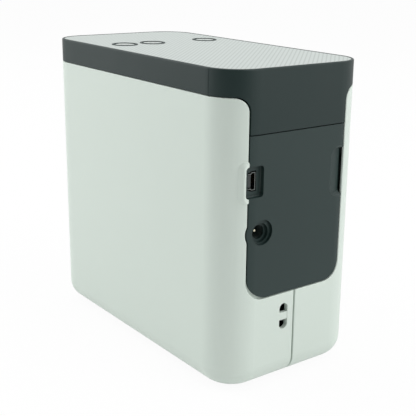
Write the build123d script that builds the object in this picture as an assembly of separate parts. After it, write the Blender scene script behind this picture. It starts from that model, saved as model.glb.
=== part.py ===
from build123d import *
import math
import os

# A desktop label printer that stands upright. Millimetres, +Z up, the tape leaves towards -Y,
# the sockets face +Y, the fixed side of the casing is +X and the cassette cover is -X.

# Casing
width = 78.0
depth = 152.0
height = 143.0
corner_radius = 16.0
base_radius = 9.5
foot_height = 1.0
wall = 2.2
seam = 0.3
half_seam = 0.75
edge_round = 0.45

# Top cover, its inlay and the three keys
band_height = 11.25
deck_thickness = 1.6
inlay_thickness = 1.2
inlay_sink = 0.15
rim_width = 1.2
rim_round = 0.6
parting_width = 0.2
parting_depth = 0.15
parting_shift = 2.1
key_collar_radius = 6.3
key_collar_proud = 0.3
key_hole_radius = 5.3
key_radius = 5.0
key_flange_radius = 6.6
key_flange_thickness = 1.5
key_proud = 0.05
key_travel = 0.5
key_room = 49.0
key_columns = {"power": 24.0, "launch": 8.0, "feed": -24.0}
switch_size = 6.0
switch_height = 3.4
plunger_radius = 1.6
plunger_height = 2.0
plunger_proud = 0.8
key_board_drop = 7.0
key_board_width = 66.0
key_board_depth = 30.0
board_thickness = 1.6
cover_boss_radius = 2.4
cover_boss_spacing = 32.0
cover_boss_rows = 22.0

# Rear panel and its openings
panel_width = 54.1
panel_shift = 0.45
panel_low = 42.8
opening_radius = 9.2
panel_radius = 11.0
panel_gap = 0.5
panel_sink = 0.3
panel_lap = 1.1
lip_width = 2.6
lip_height = 13.0
skirt_drop = 27.1
flare_radius = 6.0
usb_inset = 2.95
usb_drop = 46.9
usb_pocket_width = 7.9
usb_pocket_height = 13.6
usb_pocket_radius = 1.6
usb_pocket_depth = 2.2
usb_pocket_round = 0.6
usb_floor = 1.2
usb_notch_depth = 1.6
usb_rim_width = 2.8
usb_rim_height = 17.2
usb_rim_radius = 2.6
usb_rim_root = 3.2
usb_rim_slope = 28.0
usb_rim_round = 0.9
usb_lip_round = 0.3
usb_shell_width = 7.7
usb_shell_narrow = 6.6
usb_shell_height = 3.9
usb_shell_wall = 0.25
usb_shell_length = 9.0
usb_gap = 0.6
usb_step = 0.5
usb_proud = 0.1
usb_side_setback = 0.9
usb_seat = 0.25
usb_tongue_thickness = 1.6
usb_tongue_shift = 0.75
usb_tongue_margin = 0.6
usb_tongue_setback = 0.6
usb_block = 4.0
dc_inset = 7.8
dc_drop = 69.6
dc_pocket_radius = 5.65
dc_pocket_depth = 1.45
dc_step_radius = 4.35
dc_step_depth = 2.95
dc_step_drop = 0.5
dc_collar_radius = 8.05
dc_collar_blend = 3.0
dc_floor = 1.2
dc_bore_radius = 3.1
dc_bore_depth = 9.0
dc_pin_radius = 0.7
dc_pin_setback = 0.9
dc_body_width = 10.6
dc_body_height = 9.0
dc_body_length = 13.0
grip_drop = 48.85
grip_height = 21.7
grip_width = 7.7
grip_lip_width = 1.2
grip_lip_depth = 0.5
grip_ramp_depth = 1.75
grip_slit = 1.2
grip_under = 3.4
grip_depth = 3.2
grip_skin = 1.2
grip_radius = 3.4
grip_bead_width = 0.9
grip_bead_height = 0.18
grip_bead_crown = 0.15
cover_lip = 1.1

# Strap eyelet in the fixed side
eyelet_x = 6.2
eyelet_z = 31.7
eyelet_width = 4.7
eyelet_height = 12.4
eyelet_bar = 3.5
eyelet_bar_sink = 0.2
eyelet_bar_thickness = 1.7

# Base plate, feet and their screws
base_inset = 9.7
foot_radius = 5.0
foot_seat = 0.8
foot_round = 0.33
foot_from_side = 18.0
foot_from_end = 21.0
base_screw_from_side = 22.0
base_screw_from_end = 36.0

# Cover hinge, at the front corner of the cover
knuckle_radius = 2.6
hinge_turn = 35.0
hinge_pin_radius = 1.25
hinge_pin_grip = 12.0
hinge_lug_radius = 4.2
hinge_lug_top = 12.7
swing_room = 3.4

# Clearances: a shaft in its bore, and parts that pass each other
running = 0.05
play = 0.3

# Catch: a tongue on the cover slides into a steel clip behind the rear panel
tongue_inset = 6.0
tongue_length = 9.0
tongue_depth = 3.6
tongue_thickness = 1.2
tongue_rise = 10.0
tongue_width = 10.0
clip_steel = 0.7
clip_room = 0.45
clip_setback = 3.4
clip_margin = 1.0

# Pads inside the cover: two against the cassette, one over the roller holder
pad_length = 40.0
pad_shift = 6.0
pad_rise = 10.0
pad_drop = 26.0
release_length = 12.0

# Frame
frame_wall = 2.5
floor_thickness = 2.0
frame_foot = 9.8
post_radius = 3.5
post_from_end = 21.0
post_low = 20.0
post_drop = 20.5
screw_radius = 1.4
screw_head_radius = 2.7
screw_head = 1.6
boss_from_end = 30.0
boss_height = 12.0
boss_bite = 0.2
boss_reach = 9.0
frame_top_gap = 2.4
cover_screw_grip = 7.0
board_screw_length = 6.6

# Tape, cassette and the parts that carry the tape
tape_x = -12.0
tape_width = 24.0
tape_thickness = 0.3
tape_drop = 48.95
nip = 0.1
slot_height = 2.2
slot_margin = 0.6
cassette_thickness = 29.6
cassette_wall = 1.5
cassette_gap = 0.4
cassette_depth = 60.0
cassette_front_room = 32.5
cassette_rear_room = 117.0
cassette_rise = 2.45
cassette_corner = 5.0
notch_width = 19.0
notch_depth = 15.0
roll_radius = 20.0
roll_bore = 8.2
roll_back = 94.0
roll_below = 32.0
supply_radius = 9.0
supply_bore = 3.2
supply_back = 52.0
supply_below = 44.0
takeup_radius = 6.5
spool_margin = 0.8
hub_gap = 0.2
tape_lead = 1.0

# Rollers and feed gears
cut_room = 22.0
pinch_room = 38.0
platen_room = 54.0
roller_radius = 5.0
roller_core = 3.0
roller_shaft = 1.5
roller_overlap = 0.3
cassette_roller_radius = 4.7
gear_module = 0.8
gear_width = 4.0
gear_gap = 1.3
gear_backlash = 0.2
gear_root = 1.2
gear_tip = 0.9
flank_steps = 3
pressure_angle = 25.0
drive_teeth = 32
roller_teeth = 16
takeup_teeth = 18
pinion_teeth = 12
drive_axle_radius = 2.0
takeup_turn = -40.0
pinion_turn = 215.0
mesh_gap = 0.05
ribbon_shaft_radius = 2.4
ribbon_square = 3.2
feed_motor_radius = 11.0
feed_motor_length = 18.0
feed_motor_boss = 4.0
plate_steel = 1.2
bracket_gap = 1.2
bracket_front = 6.0
bracket_back = 6.8
bracket_below = 11.0
bracket_above = 0.6
can_round = 0.9

# Roller holder
cheek = 2.0
holder_pivot_back = 86.0
holder_pivot_rise = 7.25
holder_pin_radius = 2.0
holder_tube_radius = 4.0
lift_angle = 6.0

# Print head
head_thickness = 1.6
head_width = 8.0
head_beam = 5.0
head_foot = 2.0
head_gap = 1.0

# Cutter
blade_steel = 1.0
blade_gap = 0.1
frame_steel = 2.0
lever_pivot_x = 9.0
lever_pivot_rise = 0.95
lever_pin_radius = 1.5
lever_hub_radius = 4.0
lever_head_radius = 2.4
lever_arm_width = 6.0
lever_arm_end = 3.6
lever_slot_shift = 3.4
blade_height = 4.2
blade_tip_height = 2.52
blade_shear = 0.35
crank_arm = 14.6
crank_throw = 4.0
crank_turn = 90.0
crank_pin_radius = 1.2
crank_teeth = 26
cutter_module = 0.6
crank_width = 2.5
crank_space = 0.5
cutter_motor_radius = 7.5
cutter_motor_length = 26.0
cutter_shaft_radius = 1.0
lug_thickness = 2.5
cutter_margin = 3.0
cutter_frame_low = 11.0
cutter_frame_high = 9.0

# Main board
board_length = 60.0
board_height = 60.0
board_low = 37.5
board_post_radius = 3.0
board_post_inset = 6.0
chip_height = 1.6
plug_height = 5.0
capacitor_radius = 4.0
capacitor_height = 10.0

# On the main board, from its front lower corner: (along, up, length, height), and (along, up)
chip_places = [(22.0, 38.0, 14.0, 14.0), (22.0, 18.0, 8.0, 6.0), (40.0, 14.0, 10.0, 7.0)]
plug_places = [(9.0, 30.0, 4.0, 22.0), (24.0, 55.0, 12.0, 4.5), (40.0, 25.0, 8.0, 5.0)]
capacitor_places = [(43.0, 36.0), (43.0, 46.0)]

# Places worked out from the sizes above
half_w = width / 2
rear_y = depth / 2
front_y = -depth / 2
key_row = front_y + key_room
foot_x = half_w - foot_from_side
foot_y = rear_y - foot_from_end
base_screw_x = half_w - base_screw_from_side
base_screw_y = rear_y - base_screw_from_end
post_y = rear_y - post_from_end
boss_y = rear_y - boss_from_end
band_z = height - band_height
shell_top = band_z - seam
opening_corners = (opening_radius, opening_radius)
panel_corners = (opening_radius - panel_gap, panel_radius)
inlay_top = height - inlay_sink
parting_x = half_w - corner_radius + math.sqrt(corner_radius**2 - parting_shift**2)
parting_y = rear_y - corner_radius + parting_shift
deck_top = inlay_top - inlay_thickness
deck_low = deck_top - deck_thickness
skirt_z = height - skirt_drop
panel_edges = (panel_shift - panel_width / 2, panel_shift + panel_width / 2)
usb_x = panel_edges[1] - usb_inset
usb_pocket_edge = panel_edges[1] - usb_pocket_width
dc_x = panel_edges[1] - dc_inset
grip_start = panel_edges[0] + grip_width
grip_bend = grip_start - grip_lip_width
slit_x = panel_edges[0] + grip_slit
grip_reach = panel_edges[0] - grip_under
usb_z = height - usb_drop
dc_z = height - dc_drop
jack_z = dc_z - dc_step_drop
grip_z = height - grip_drop
floor_z = foot_height + wall
floor_top = floor_z + floor_thickness
tape_z = height - tape_drop
tape_low = tape_z - tape_thickness / 2
tape_high = tape_z + tape_thickness / 2
cut_y = front_y + cut_room
pinch_y = front_y + pinch_room
platen_y = front_y + platen_room
roller_z = tape_high + nip + roller_radius
cassette_x = (tape_x - cassette_thickness / 2, tape_x + cassette_thickness / 2)
cassette_y = (front_y + cassette_front_room, front_y + cassette_rear_room)
cassette_top = tape_z + cassette_rise
cassette_low = cassette_top - cassette_depth - cassette_rise
wall_x = (cassette_x[1] + cassette_gap, cassette_x[1] + cassette_gap + frame_wall)
key_board_top = deck_low - key_board_drop
key_board_low = key_board_top - board_thickness
wall_top = key_board_low - screw_head / 2 - frame_top_gap
boss_columns = (wall_x[0] - post_radius + boss_bite, wall_x[1] + post_radius - boss_bite)
gear_x = (wall_x[1] + gear_gap, wall_x[1] + gear_gap + gear_width)
bracket_x = (gear_x[1] + bracket_gap, gear_x[1] + bracket_gap + plate_steel)
post_x = half_w - boss_reach
post_high = height - post_drop
reach = width + depth
tape_edges = (tape_x - tape_width / 2, tape_x + tape_width / 2)
spool_x = (tape_edges[0] - spool_margin / 2, tape_edges[1] + spool_margin / 2)
head_z = (tape_low - nip - head_thickness, tape_low - nip)
rear_zone = (rear_y - corner_radius, rear_y + wall)
front_zone = (front_y - wall, front_y + corner_radius)

# Keys and their switches along Z
switch_top = key_board_top + switch_height
plunger_z = (switch_top + plunger_proud - plunger_height, switch_top + plunger_proud)
key_flange_z = (deck_low - play - key_flange_thickness, deck_low - play)

# Rear panel along Y, and the sockets and the main board behind it
panel_face = rear_y - panel_sink
panel_back = panel_face - wall
usb_floor_y = (panel_face - usb_pocket_depth - usb_floor, panel_face - usb_pocket_depth)
usb_mouth = usb_floor_y[1] + usb_proud
usb_y = (usb_mouth - usb_shell_length, usb_mouth)
dc_floor_y = (panel_face - dc_step_depth - dc_floor, panel_face - dc_step_depth)
dc_y = (dc_floor_y[0] - dc_body_length, dc_floor_y[0])
grip_floor = panel_face - grip_depth
grip_span = (grip_z - grip_height / 2, grip_z + grip_height / 2)
board_face = usb_x + usb_shell_height / 2 + usb_seat
board_x = (board_face, board_face + board_thickness)
board_y = (usb_floor_y[0] - seam - board_length, usb_floor_y[0] - seam)
board_z = (usb_z - board_low, usb_z - board_low + board_height)

# Catch
tongue_x = (-half_w + tongue_inset, -half_w + tongue_inset + tongue_length)
tongue_y = (rear_y - wall - tongue_depth - tongue_thickness, rear_y - wall - tongue_depth)
tongue_z = (panel_low + tongue_rise, panel_low + tongue_rise + tongue_width)
clip_x = (tongue_x[0] + clip_setback, tongue_x[1] + clip_room + clip_steel)
clip_y = (tongue_y[0] - clip_room - clip_steel, tongue_y[1] + clip_room + clip_steel)
clip_z = (tongue_z[0] + clip_margin, tongue_z[1] - clip_margin)

# Rollers and their holder along X
roller_span = (tape_edges[0] - roller_overlap, tape_edges[1] + roller_overlap)
cheek_left = (roller_span[0] - play - cheek, roller_span[0] - play)
cheek_right = (roller_span[1] + play, roller_span[1] + play + cheek)

# Hinge axis: inside the rounded front corner of the cover, touching the outer surface
turn = math.radians(hinge_turn)
hinge_out = (-math.sin(turn), -math.cos(turn))
hinge_along = (math.cos(turn), -math.sin(turn))
hinge_x = -(half_w - corner_radius) + (corner_radius - knuckle_radius) * hinge_out[0]
hinge_y = -(rear_y - corner_radius) + (corner_radius - knuckle_radius) * hinge_out[1]

# Feed gear centres in (Y, Z)
roller_distance = gear_module * (drive_teeth + roller_teeth) / 2 + mesh_gap
drive_y = (pinch_y + platen_y) / 2
drive_z = roller_z - math.sqrt(roller_distance**2 - ((platen_y - pinch_y) / 2) ** 2)
takeup_distance = gear_module * (drive_teeth + takeup_teeth) / 2 + mesh_gap
takeup_y = drive_y + takeup_distance * math.cos(math.radians(takeup_turn))
takeup_z = drive_z + takeup_distance * math.sin(math.radians(takeup_turn))
pinion_distance = gear_module * (drive_teeth + pinion_teeth) / 2 + mesh_gap
pinion_y = drive_y + pinion_distance * math.cos(math.radians(pinion_turn))
pinion_z = drive_z + pinion_distance * math.sin(math.radians(pinion_turn))
holder_y = front_y + holder_pivot_back
holder_z = tape_z + holder_pivot_rise
roll_y = front_y + roll_back
roll_z = tape_z - roll_below
supply_y = front_y + supply_back
supply_z = tape_z - supply_below
cassette_roller_z = tape_low - nip - cassette_roller_radius

# Cutter places in (X, Z) and along Y
lever_z = tape_z + lever_pivot_rise
lever_y = (cut_y, cut_y + blade_steel)
fixed_blade_y = (cut_y - blade_gap - blade_steel, cut_y - blade_gap)
cutter_frame_y = (fixed_blade_y[0] - frame_steel, fixed_blade_y[0])
crank_y = (lever_y[1] + crank_space, lever_y[1] + crank_space + crank_width)
lug_y = (crank_y[1] + crank_space, crank_y[1] + crank_space + lug_thickness)
crank_x = lever_pivot_x + crank_arm
crank_rest = -crank_turn / 2
crank_pin = (
    crank_x + crank_throw * math.cos(math.radians(crank_rest)),
    lever_z + crank_throw * math.sin(math.radians(crank_rest)),
)
lever_rest = math.degrees(math.atan2(crank_pin[1] - lever_z, crank_pin[0] - lever_pivot_x))
lever_turn = -2 * lever_rest
cutter_distance = cutter_module * (crank_teeth + pinion_teeth) / 2 + mesh_gap
cutter_motor_z = lever_z + cutter_distance
cutter_left = tape_edges[0] - cutter_margin

# Starting angles of the gear teeth, and how close counts as touching
drive_phase = 0.0
crank_phase = 0.0
touching = 0.001


def block(x, y, z):
    """A box from its (low, high) pairs."""
    centre = [(pair[0] + pair[1]) / 2 for pair in (x, y, z)]
    return Pos(*centre) * Box(x[1] - x[0], y[1] - y[0], z[1] - z[0])


def rod_x(y, z, radius, x):
    return Pos((x[0] + x[1]) / 2, y, z) * Rot(0, 90, 0) * Cylinder(radius, x[1] - x[0])


def rod_y(x, z, radius, y):
    return Pos(x, (y[0] + y[1]) / 2, z) * Rot(90, 0, 0) * Cylinder(radius, y[1] - y[0])


def rod_z(x, y, radius, z):
    return Pos(x, y, (z[0] + z[1]) / 2) * Cylinder(radius, z[1] - z[0])


def slab_x(outline, x):
    """A (Y, Z) outline drawn out along X."""
    plane = Plane((x[0], 0, 0), x_dir=(0, 1, 0), z_dir=(1, 0, 0))
    return extrude(plane * outline, amount=x[1] - x[0])


def slab_y(outline, y):
    """An (X, Z) outline drawn out along Y."""
    plane = Plane((0, y[1], 0), x_dir=(1, 0, 0), z_dir=(0, -1, 0))
    return extrude(plane * outline, amount=y[1] - y[0])


def slab_z(outline, z):
    """An (X, Y) outline drawn out along Z."""
    return extrude(Plane.XY.offset(z[0]) * outline, amount=z[1] - z[0])


def polygon(*points):
    """A flat outline through its corners, taken anticlockwise so that it faces its plane's normal."""
    pairs = zip(points, points[1:] + points[:1])
    area = sum(start[0] * end[1] - end[0] * start[1] for start, end in pairs)
    return Polygon(*(points if area > 0 else reversed(points)), align=None)


def rectangle(x, y):
    """A flat rectangle from its (low, high) pairs."""
    return Pos((x[0] + x[1]) / 2, (y[0] + y[1]) / 2) * Rectangle(x[1] - x[0], y[1] - y[0])


def rounded_rectangle(x, y, radius):
    size = (x[1] - x[0], y[1] - y[0])
    return Pos((x[0] + x[1]) / 2, (y[0] + y[1]) / 2) * RectangleRounded(*size, radius)


def disc(x, y, radius):
    return Pos(x, y) * Circle(radius)


def plan(inset):
    """The casing's outline seen from above, drawn in by an inset."""
    return RectangleRounded(width - 2 * inset, depth - 2 * inset, corner_radius - inset)


def casing_block(inset, top):
    """The casing's outer form drawn in by an inset, with its rounded bottom edge."""
    blank = slab_z(plan(inset), (foot_height + inset, top))
    return fillet(blank.faces().sort_by(Axis.Z)[0].edges(), base_radius - inset)


def casing_cup():
    """The side walls and rounded bottom that the two halves and the front are cut from."""
    return casing_block(0, shell_top) - casing_block(wall, shell_top + wall)


def ring(inset, z):
    """A length of the casing's wall above the rounded bottom edge."""
    return slab_z(plan(inset), z) - slab_z(plan(inset + wall), z)


def rear_outline(gap, corners):
    """The middle of the rear face, in (X, Z), drawn in by a gap: round lower corners, the cover's first,
    and upper corners that sweep out under the top band."""
    top = band_z + wall
    middle = rectangle((panel_edges[0] + gap, panel_edges[1] - gap), (panel_low + gap, top))
    for at, corner in zip((0, -1), corners):
        middle = fillet(middle.vertices().group_by(Axis.Y)[0].sort_by(Axis.X)[at], corner)
    centre_z = shell_top - flare_radius
    for edge, side in zip(panel_edges, (-1, 1)):
        ear = rectangle(sorted((edge - side * gap, edge + side * flare_radius)), (centre_z, top))
        middle += ear - disc(edge + side * flare_radius, centre_z, flare_radius + gap)
    return middle


def rear_opening():
    """The gap in the two halves for the dark middle of the rear face, with a smooth bulge round the
    power socket."""
    reach_out = dc_collar_radius + panel_gap
    outline = rear_outline(0, opening_corners) + disc(dc_x, dc_z, reach_out)
    away = [math.dist((corner.X, corner.Y), (dc_x, dc_z)) for corner in outline.vertices()]
    crossings = [corner for corner, far in zip(outline.vertices(), away) if abs(far - reach_out) < running]
    return fillet(crossings, dc_collar_blend)


def panel_outline():
    """The dark middle itself, rounder than its gap at the lower corner beside the fixed side."""
    return rear_outline(panel_gap, panel_corners)


def front_outline(gap):
    """The dark front, in (X, Z): its -X edge is left to the hinge's clearance."""
    edge = panel_edges[1]
    top = band_z + wall
    face = rectangle((-width, edge - gap), (panel_low + gap, top))
    corner = face.vertices().group_by(Axis.Y)[0].sort_by(Axis.X)[-1]
    face = fillet(corner, opening_radius - gap)
    centre_z = shell_top - flare_radius
    ear = rectangle((edge - gap, edge + flare_radius), (centre_z, top))
    return face + ear - disc(edge + flare_radius, centre_z, flare_radius + gap)


def hinge_point(along, out):
    """A point in plan, measured from the hinge axis along the panel and outwards."""
    x = hinge_x + along * hinge_along[0] + out * hinge_out[0]
    y = hinge_y + along * hinge_along[1] + out * hinge_out[1]
    return (x, y)


def cover_side():
    """The part of the plan that swings with the cover."""
    points = [(-half_seam / 2, reach), (-half_seam / 2, 0), hinge_point(0, 0), hinge_point(0, reach)]
    return slab_z(polygon(*points, (-2 * reach, -reach), (-2 * reach, reach)), (0, height))


def fixed_side():
    """The part of the plan that stays: all but the cover and the hinge's clearance."""
    near = hinge_point(swing_room, 0)
    far = hinge_point(swing_room, reach)
    start = half_seam / 2
    points = [(start, reach), (start, 0), near, far, (reach, -2 * reach), (reach, reach)]
    return slab_z(polygon(*points), (0, height))


def base_opening(gap):
    return slab_z(plan(base_inset + gap), (0, floor_z + seam))


def eased(shell, seam_x):
    """Rounds the outer edges along the rear opening and down the rear seam. The rounding runs on
    along the top edge, which the opening's corner meets smoothly."""
    wire = flat_wire(rear_opening())
    outline_wire = plan(0).wire()
    chosen = []
    for edge in shell.edges():
        points = [edge.position_at(share) for share in (0.0, 0.5, 1.0)]
        if any(point.Y < 0 for point in points):
            continue
        middle = points[1]
        on_outside = Vertex(middle.X, middle.Y, 0).distance_to(outline_wire) < touching
        on_opening = all(Vertex(point.X, 0, point.Z).distance_to(wire) < touching for point in points)
        on_seam = all(abs(point.X - seam_x) < touching for point in points)
        round_seam = on_seam and edge.geom_type == GeomType.CIRCLE
        outer_round = round_seam and abs(edge.radius - base_radius) < touching
        if outer_round or (on_outside and (on_opening or on_seam)):
            chosen.append(edge)
    return fillet(chosen, edge_round)


def flat_wire(outline):
    """An (X, Z) outline's edge, laid in the plane Y = 0."""
    plane = Plane((0, 0, 0), x_dir=(1, 0, 0), z_dir=(0, -1, 0))
    return (plane * outline).face().outer_wire()


def usb_pocket():
    """The USB pocket's outline, open towards the fixed side's edge."""
    half = usb_pocket_height / 2
    x = (usb_pocket_edge, panel_edges[1] + usb_notch_depth + usb_pocket_radius)
    return rounded_rectangle(x, (usb_z - half, usb_z + half), usb_pocket_radius)


def usb_notch(gap):
    """The notch in the fixed side's edge beside the pocket, drawn in by a gap."""
    half = usb_pocket_height / 2 + running - gap
    x = (usb_x, panel_edges[1] + usb_notch_depth - gap)
    return rounded_rectangle(x, (usb_z - half, usb_z + half), usb_pocket_radius)


def usb_rim():
    """The raised rim round the notch, which stands level with the rear face where the corner falls away:
    sloping sides and a round top."""
    grow = usb_rim_root * math.tan(math.radians(usb_rim_slope))
    half = usb_rim_height / 2 + grow
    x = (usb_x - grow, panel_edges[1] + usb_rim_width + grow)
    foot = rounded_rectangle((-x[1], -x[0]), (usb_z - half, usb_z + half), usb_rim_radius + grow)
    plane = Plane((0, rear_y - usb_rim_root, 0), x_dir=(-1, 0, 0), z_dir=(0, 1, 0))
    rim = extrude(plane * foot, amount=usb_rim_root, taper=usb_rim_slope)
    rim = fillet(rim.faces().sort_by(Axis.Y)[-1].edges(), usb_rim_round)
    rim &= block((panel_edges[1], width), rear_zone, (0, height))
    rim -= slab_y(usb_notch(0), rear_zone)
    lip = [edge for edge in rim.edges() if edge.center().Y > panel_face and edge.center().X < x[1] - grow]
    return fillet(lip, usb_lip_round)


def panel_lip(gap):
    """The fixed side's ledge behind the panel's lower corner, in (X, Z), with a gap round it."""
    low_corner = rectangle((half_seam / 2 - gap, half_w), (0, panel_low + lip_height + gap))
    return (rear_outline(-wall, opening_corners) - rear_outline(lip_width + gap, panel_corners)) & low_corner


def make_right_shell():
    """The fixed side: one moulding with the rear and front edges, its screw bosses and the eyelet."""
    shell = casing_cup() & fixed_side()
    shell -= base_opening(0)
    shell -= slab_y(rear_opening(), rear_zone)
    shell -= slab_y(front_outline(0), front_zone)
    shell = eased(shell, half_seam / 2)
    shell -= rod_z(hinge_x, hinge_y, hinge_lug_radius + play, (0, hinge_lug_top + play))
    shell -= slab_y(usb_notch(0), rear_zone)
    shell += usb_rim()
    ledge = slab_z(plan(panel_sink + panel_lap + running), (0, height)) - slab_z(plan(wall), (0, height))
    shell += ledge & slab_y(panel_lip(0), rear_zone)
    slot = Pos(eyelet_x, eyelet_z) * SlotOverall(eyelet_height, eyelet_width, rotation=90)
    shell -= slab_y(slot, rear_zone)
    bar_y = (rear_y - eyelet_bar_sink - eyelet_bar_thickness, rear_y - eyelet_bar_sink)
    bar_x = (eyelet_x - eyelet_width / 2 - wall / 4, eyelet_x + eyelet_width / 2 + wall / 4)
    bar_z = (eyelet_z - eyelet_bar / 2, eyelet_z + eyelet_bar / 2)
    shell += block(bar_x, bar_y, bar_z)
    for y in (-post_y, post_y):
        for z in (post_low, post_high):
            shell += rod_x(y, z, post_radius, (post_x, half_w - wall / 2))
            shell -= rod_x(y, z, screw_radius + running, (post_x - wall, half_w - wall))
    return shell


def make_cassette_cover():
    """The swinging side: a shell with a full-height hinge knuckle, pads for the cassette and a tongue
    for the catch."""
    shell = casing_cup() & cover_side()
    shell -= base_opening(0)
    shell -= slab_y(rear_opening(), rear_zone)
    shell = eased(shell, -half_seam / 2)
    lip_room = block((grip_reach, panel_edges[0] + wall), rear_zone, grip_span)
    shell -= lip_room & slab_z(plan(cover_lip), grip_span)
    knuckle_z = (hinge_lug_top + play, shell_top)
    shell -= rod_z(hinge_x, hinge_y, hinge_lug_radius + play, (0, knuckle_z[0]))
    shell += rod_z(hinge_x, hinge_y, knuckle_radius, knuckle_z)
    bore = hinge_pin_radius + running
    shell -= rod_z(hinge_x, hinge_y, bore, (0, knuckle_z[0] + hinge_pin_grip + play))
    shell -= rod_z(hinge_x, hinge_y, bore, (shell_top - hinge_pin_grip - play, height))
    pad_x = (-half_w + wall / 2, cassette_x[0] - play)
    middle_y = (cassette_y[0] + cassette_y[1]) / 2 + pad_shift
    pad_y = (middle_y - pad_length / 2, middle_y + pad_length / 2)
    for z in (cassette_low + pad_rise, cassette_top - pad_drop):
        shell += block(pad_x, pad_y, (z, z + wall))
    release_z = (roller_z + roller_radius, roller_z + roller_radius + wall)
    release_y = (drive_y - release_length / 2, drive_y + release_length / 2)
    shell += block(pad_x, release_y, release_z)
    rib_x = (-half_w, tongue_x[1])
    return shell + (block(rib_x, tongue_y, tongue_z) & slab_z(plan(wall / 2), (0, height)))


def make_latch_clip():
    """A bent strip of spring steel, open towards the cover."""
    strip = block(clip_x, clip_y, clip_z)
    inner_x = (clip_x[0] - clip_steel, clip_x[1] - clip_steel)
    return strip - block(inner_x, (clip_y[0] + clip_steel, clip_y[1] - clip_steel), clip_z)


def make_top_cover():
    """The dark cap: a flat band round the top with the mould's parting lines, a sunk deck with a collar
    round each key, a rear skirt and its inner bosses."""
    cap = slab_z(plan(0), (band_z, height))
    cap = fillet(cap.faces().sort_by(Axis.Z)[-1].edges(), rim_round)
    cap -= slab_z(plan(wall), (band_z - wall, deck_low))
    cap -= slab_z(plan(rim_width), (deck_top, height + rim_width))
    for side in (-1, 1):
        groove_x = sorted((side * (parting_x - parting_depth), side * half_w))
        for y in (-parting_y, parting_y):
            groove_y = (y - parting_width / 2, y + parting_width / 2)
            cap -= block(groove_x, groove_y, (band_z - wall, height + wall))
    skirt_wall = ring(0, (skirt_z + panel_gap / 2, band_z))
    cap += skirt_wall & slab_y(panel_outline(), rear_zone)
    hinge_boss = rod_z(hinge_x, hinge_y, knuckle_radius + wall / 2, (band_z, deck_low + deck_thickness / 2))
    cap += hinge_boss & slab_z(plan(wall / 2), (band_z, deck_top))
    cap -= rod_z(hinge_x, hinge_y, hinge_pin_radius + running, (band_z - wall, deck_low - play))
    collar_z = (deck_low + deck_thickness / 2, inlay_top + key_collar_proud)
    for x in key_columns.values():
        cap += rod_z(x, key_row, key_collar_radius, collar_z)
        cap -= rod_z(x, key_row, key_hole_radius, (deck_low - wall, height + wall))
    for x in (-cover_boss_spacing / 2, cover_boss_spacing / 2):
        for y in (key_row - cover_boss_rows / 2, key_row + cover_boss_rows / 2):
            cap += rod_z(x, y, cover_boss_radius, (key_board_top, deck_low + deck_thickness / 2))
            cap -= rod_z(x, y, screw_radius / 2 + running, (key_board_low, deck_low - play))
    for x in boss_columns:
        for y in (-boss_y, boss_y):
            cap += rod_z(x, y, post_radius, (wall_top, deck_low + deck_thickness / 2))
            cap -= rod_z(x, y, screw_radius + running, (wall_top - wall, deck_low - play))
    return cap


def make_top_inlay():
    """The light plate let into the top, with three holes for the keys."""
    plate = slab_z(plan(rim_width + running), (deck_top, inlay_top))
    for x in key_columns.values():
        plate -= rod_z(x, key_row, key_collar_radius + running, (deck_top - wall, height))
    return plate


def make_key(x):
    """A round key with a flange that holds it under the deck and a stem down to its switch."""
    key = rod_z(x, key_row, key_radius, (key_flange_z[0], inlay_top + key_proud))
    key = fillet(key.faces().sort_by(Axis.Z)[-1].edges(), edge_round)
    key += rod_z(x, key_row, key_flange_radius, key_flange_z)
    return key + rod_z(x, key_row, plunger_radius, (plunger_z[1], key_flange_z[0]))


def make_key_plunger(x):
    """The moving part of a push switch."""
    return rod_z(x, key_row, plunger_radius, plunger_z)


def make_key_switches():
    """Three square push switches on the key board, each bored for its plunger."""
    half = switch_size / 2
    bodies = []
    for x in key_columns.values():
        body = block((x - half, x + half), (key_row - half, key_row + half), (key_board_top, switch_top))
        bore = (plunger_z[0] - key_travel - running, height)
        bodies.append(body - rod_z(x, key_row, plunger_radius + running, bore))
    return Compound(children=bodies)


def make_key_board():
    """The small circuit board under the keys."""
    x = (-key_board_width / 2, key_board_width / 2)
    y = (key_row - key_board_depth / 2, key_row + key_board_depth / 2)
    board = block(x, y, (key_board_low, key_board_top))
    for x in (-cover_boss_spacing / 2, cover_boss_spacing / 2):
        for y in (key_row - cover_boss_rows / 2, key_row + cover_boss_rows / 2):
            board -= rod_z(x, y, screw_radius / 2 + running, (key_board_low - wall, key_board_top + wall))
    return board


def grip_bead():
    """The low bead at both ends of the finger grip's mouth: a ridge with two sloping sides, which dies away
    along the mouth's corners."""
    run = (grip_bead_width - grip_bead_crown) / 2
    slope = math.degrees(math.atan(run / grip_bead_height))
    plane = Plane((0, panel_face - grip_bead_height, 0), x_dir=(-1, 0, 0), z_dir=(0, 1, 0))
    sides = []
    for side, end, taper in ((run, grip_bead_width + run, slope), (-run, -run, -slope)):
        x = (-grip_start - side, -grip_reach + grip_radius + end)
        foot = rounded_rectangle(x, (grip_span[0] - end, grip_span[1] + end), grip_radius + end)
        sides.append(extrude(plane * foot, amount=2 * grip_bead_height, taper=taper))
    return (sides[0] - sides[1]) & block((panel_edges[0] + panel_gap, half_w), rear_zone, (0, height))


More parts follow.
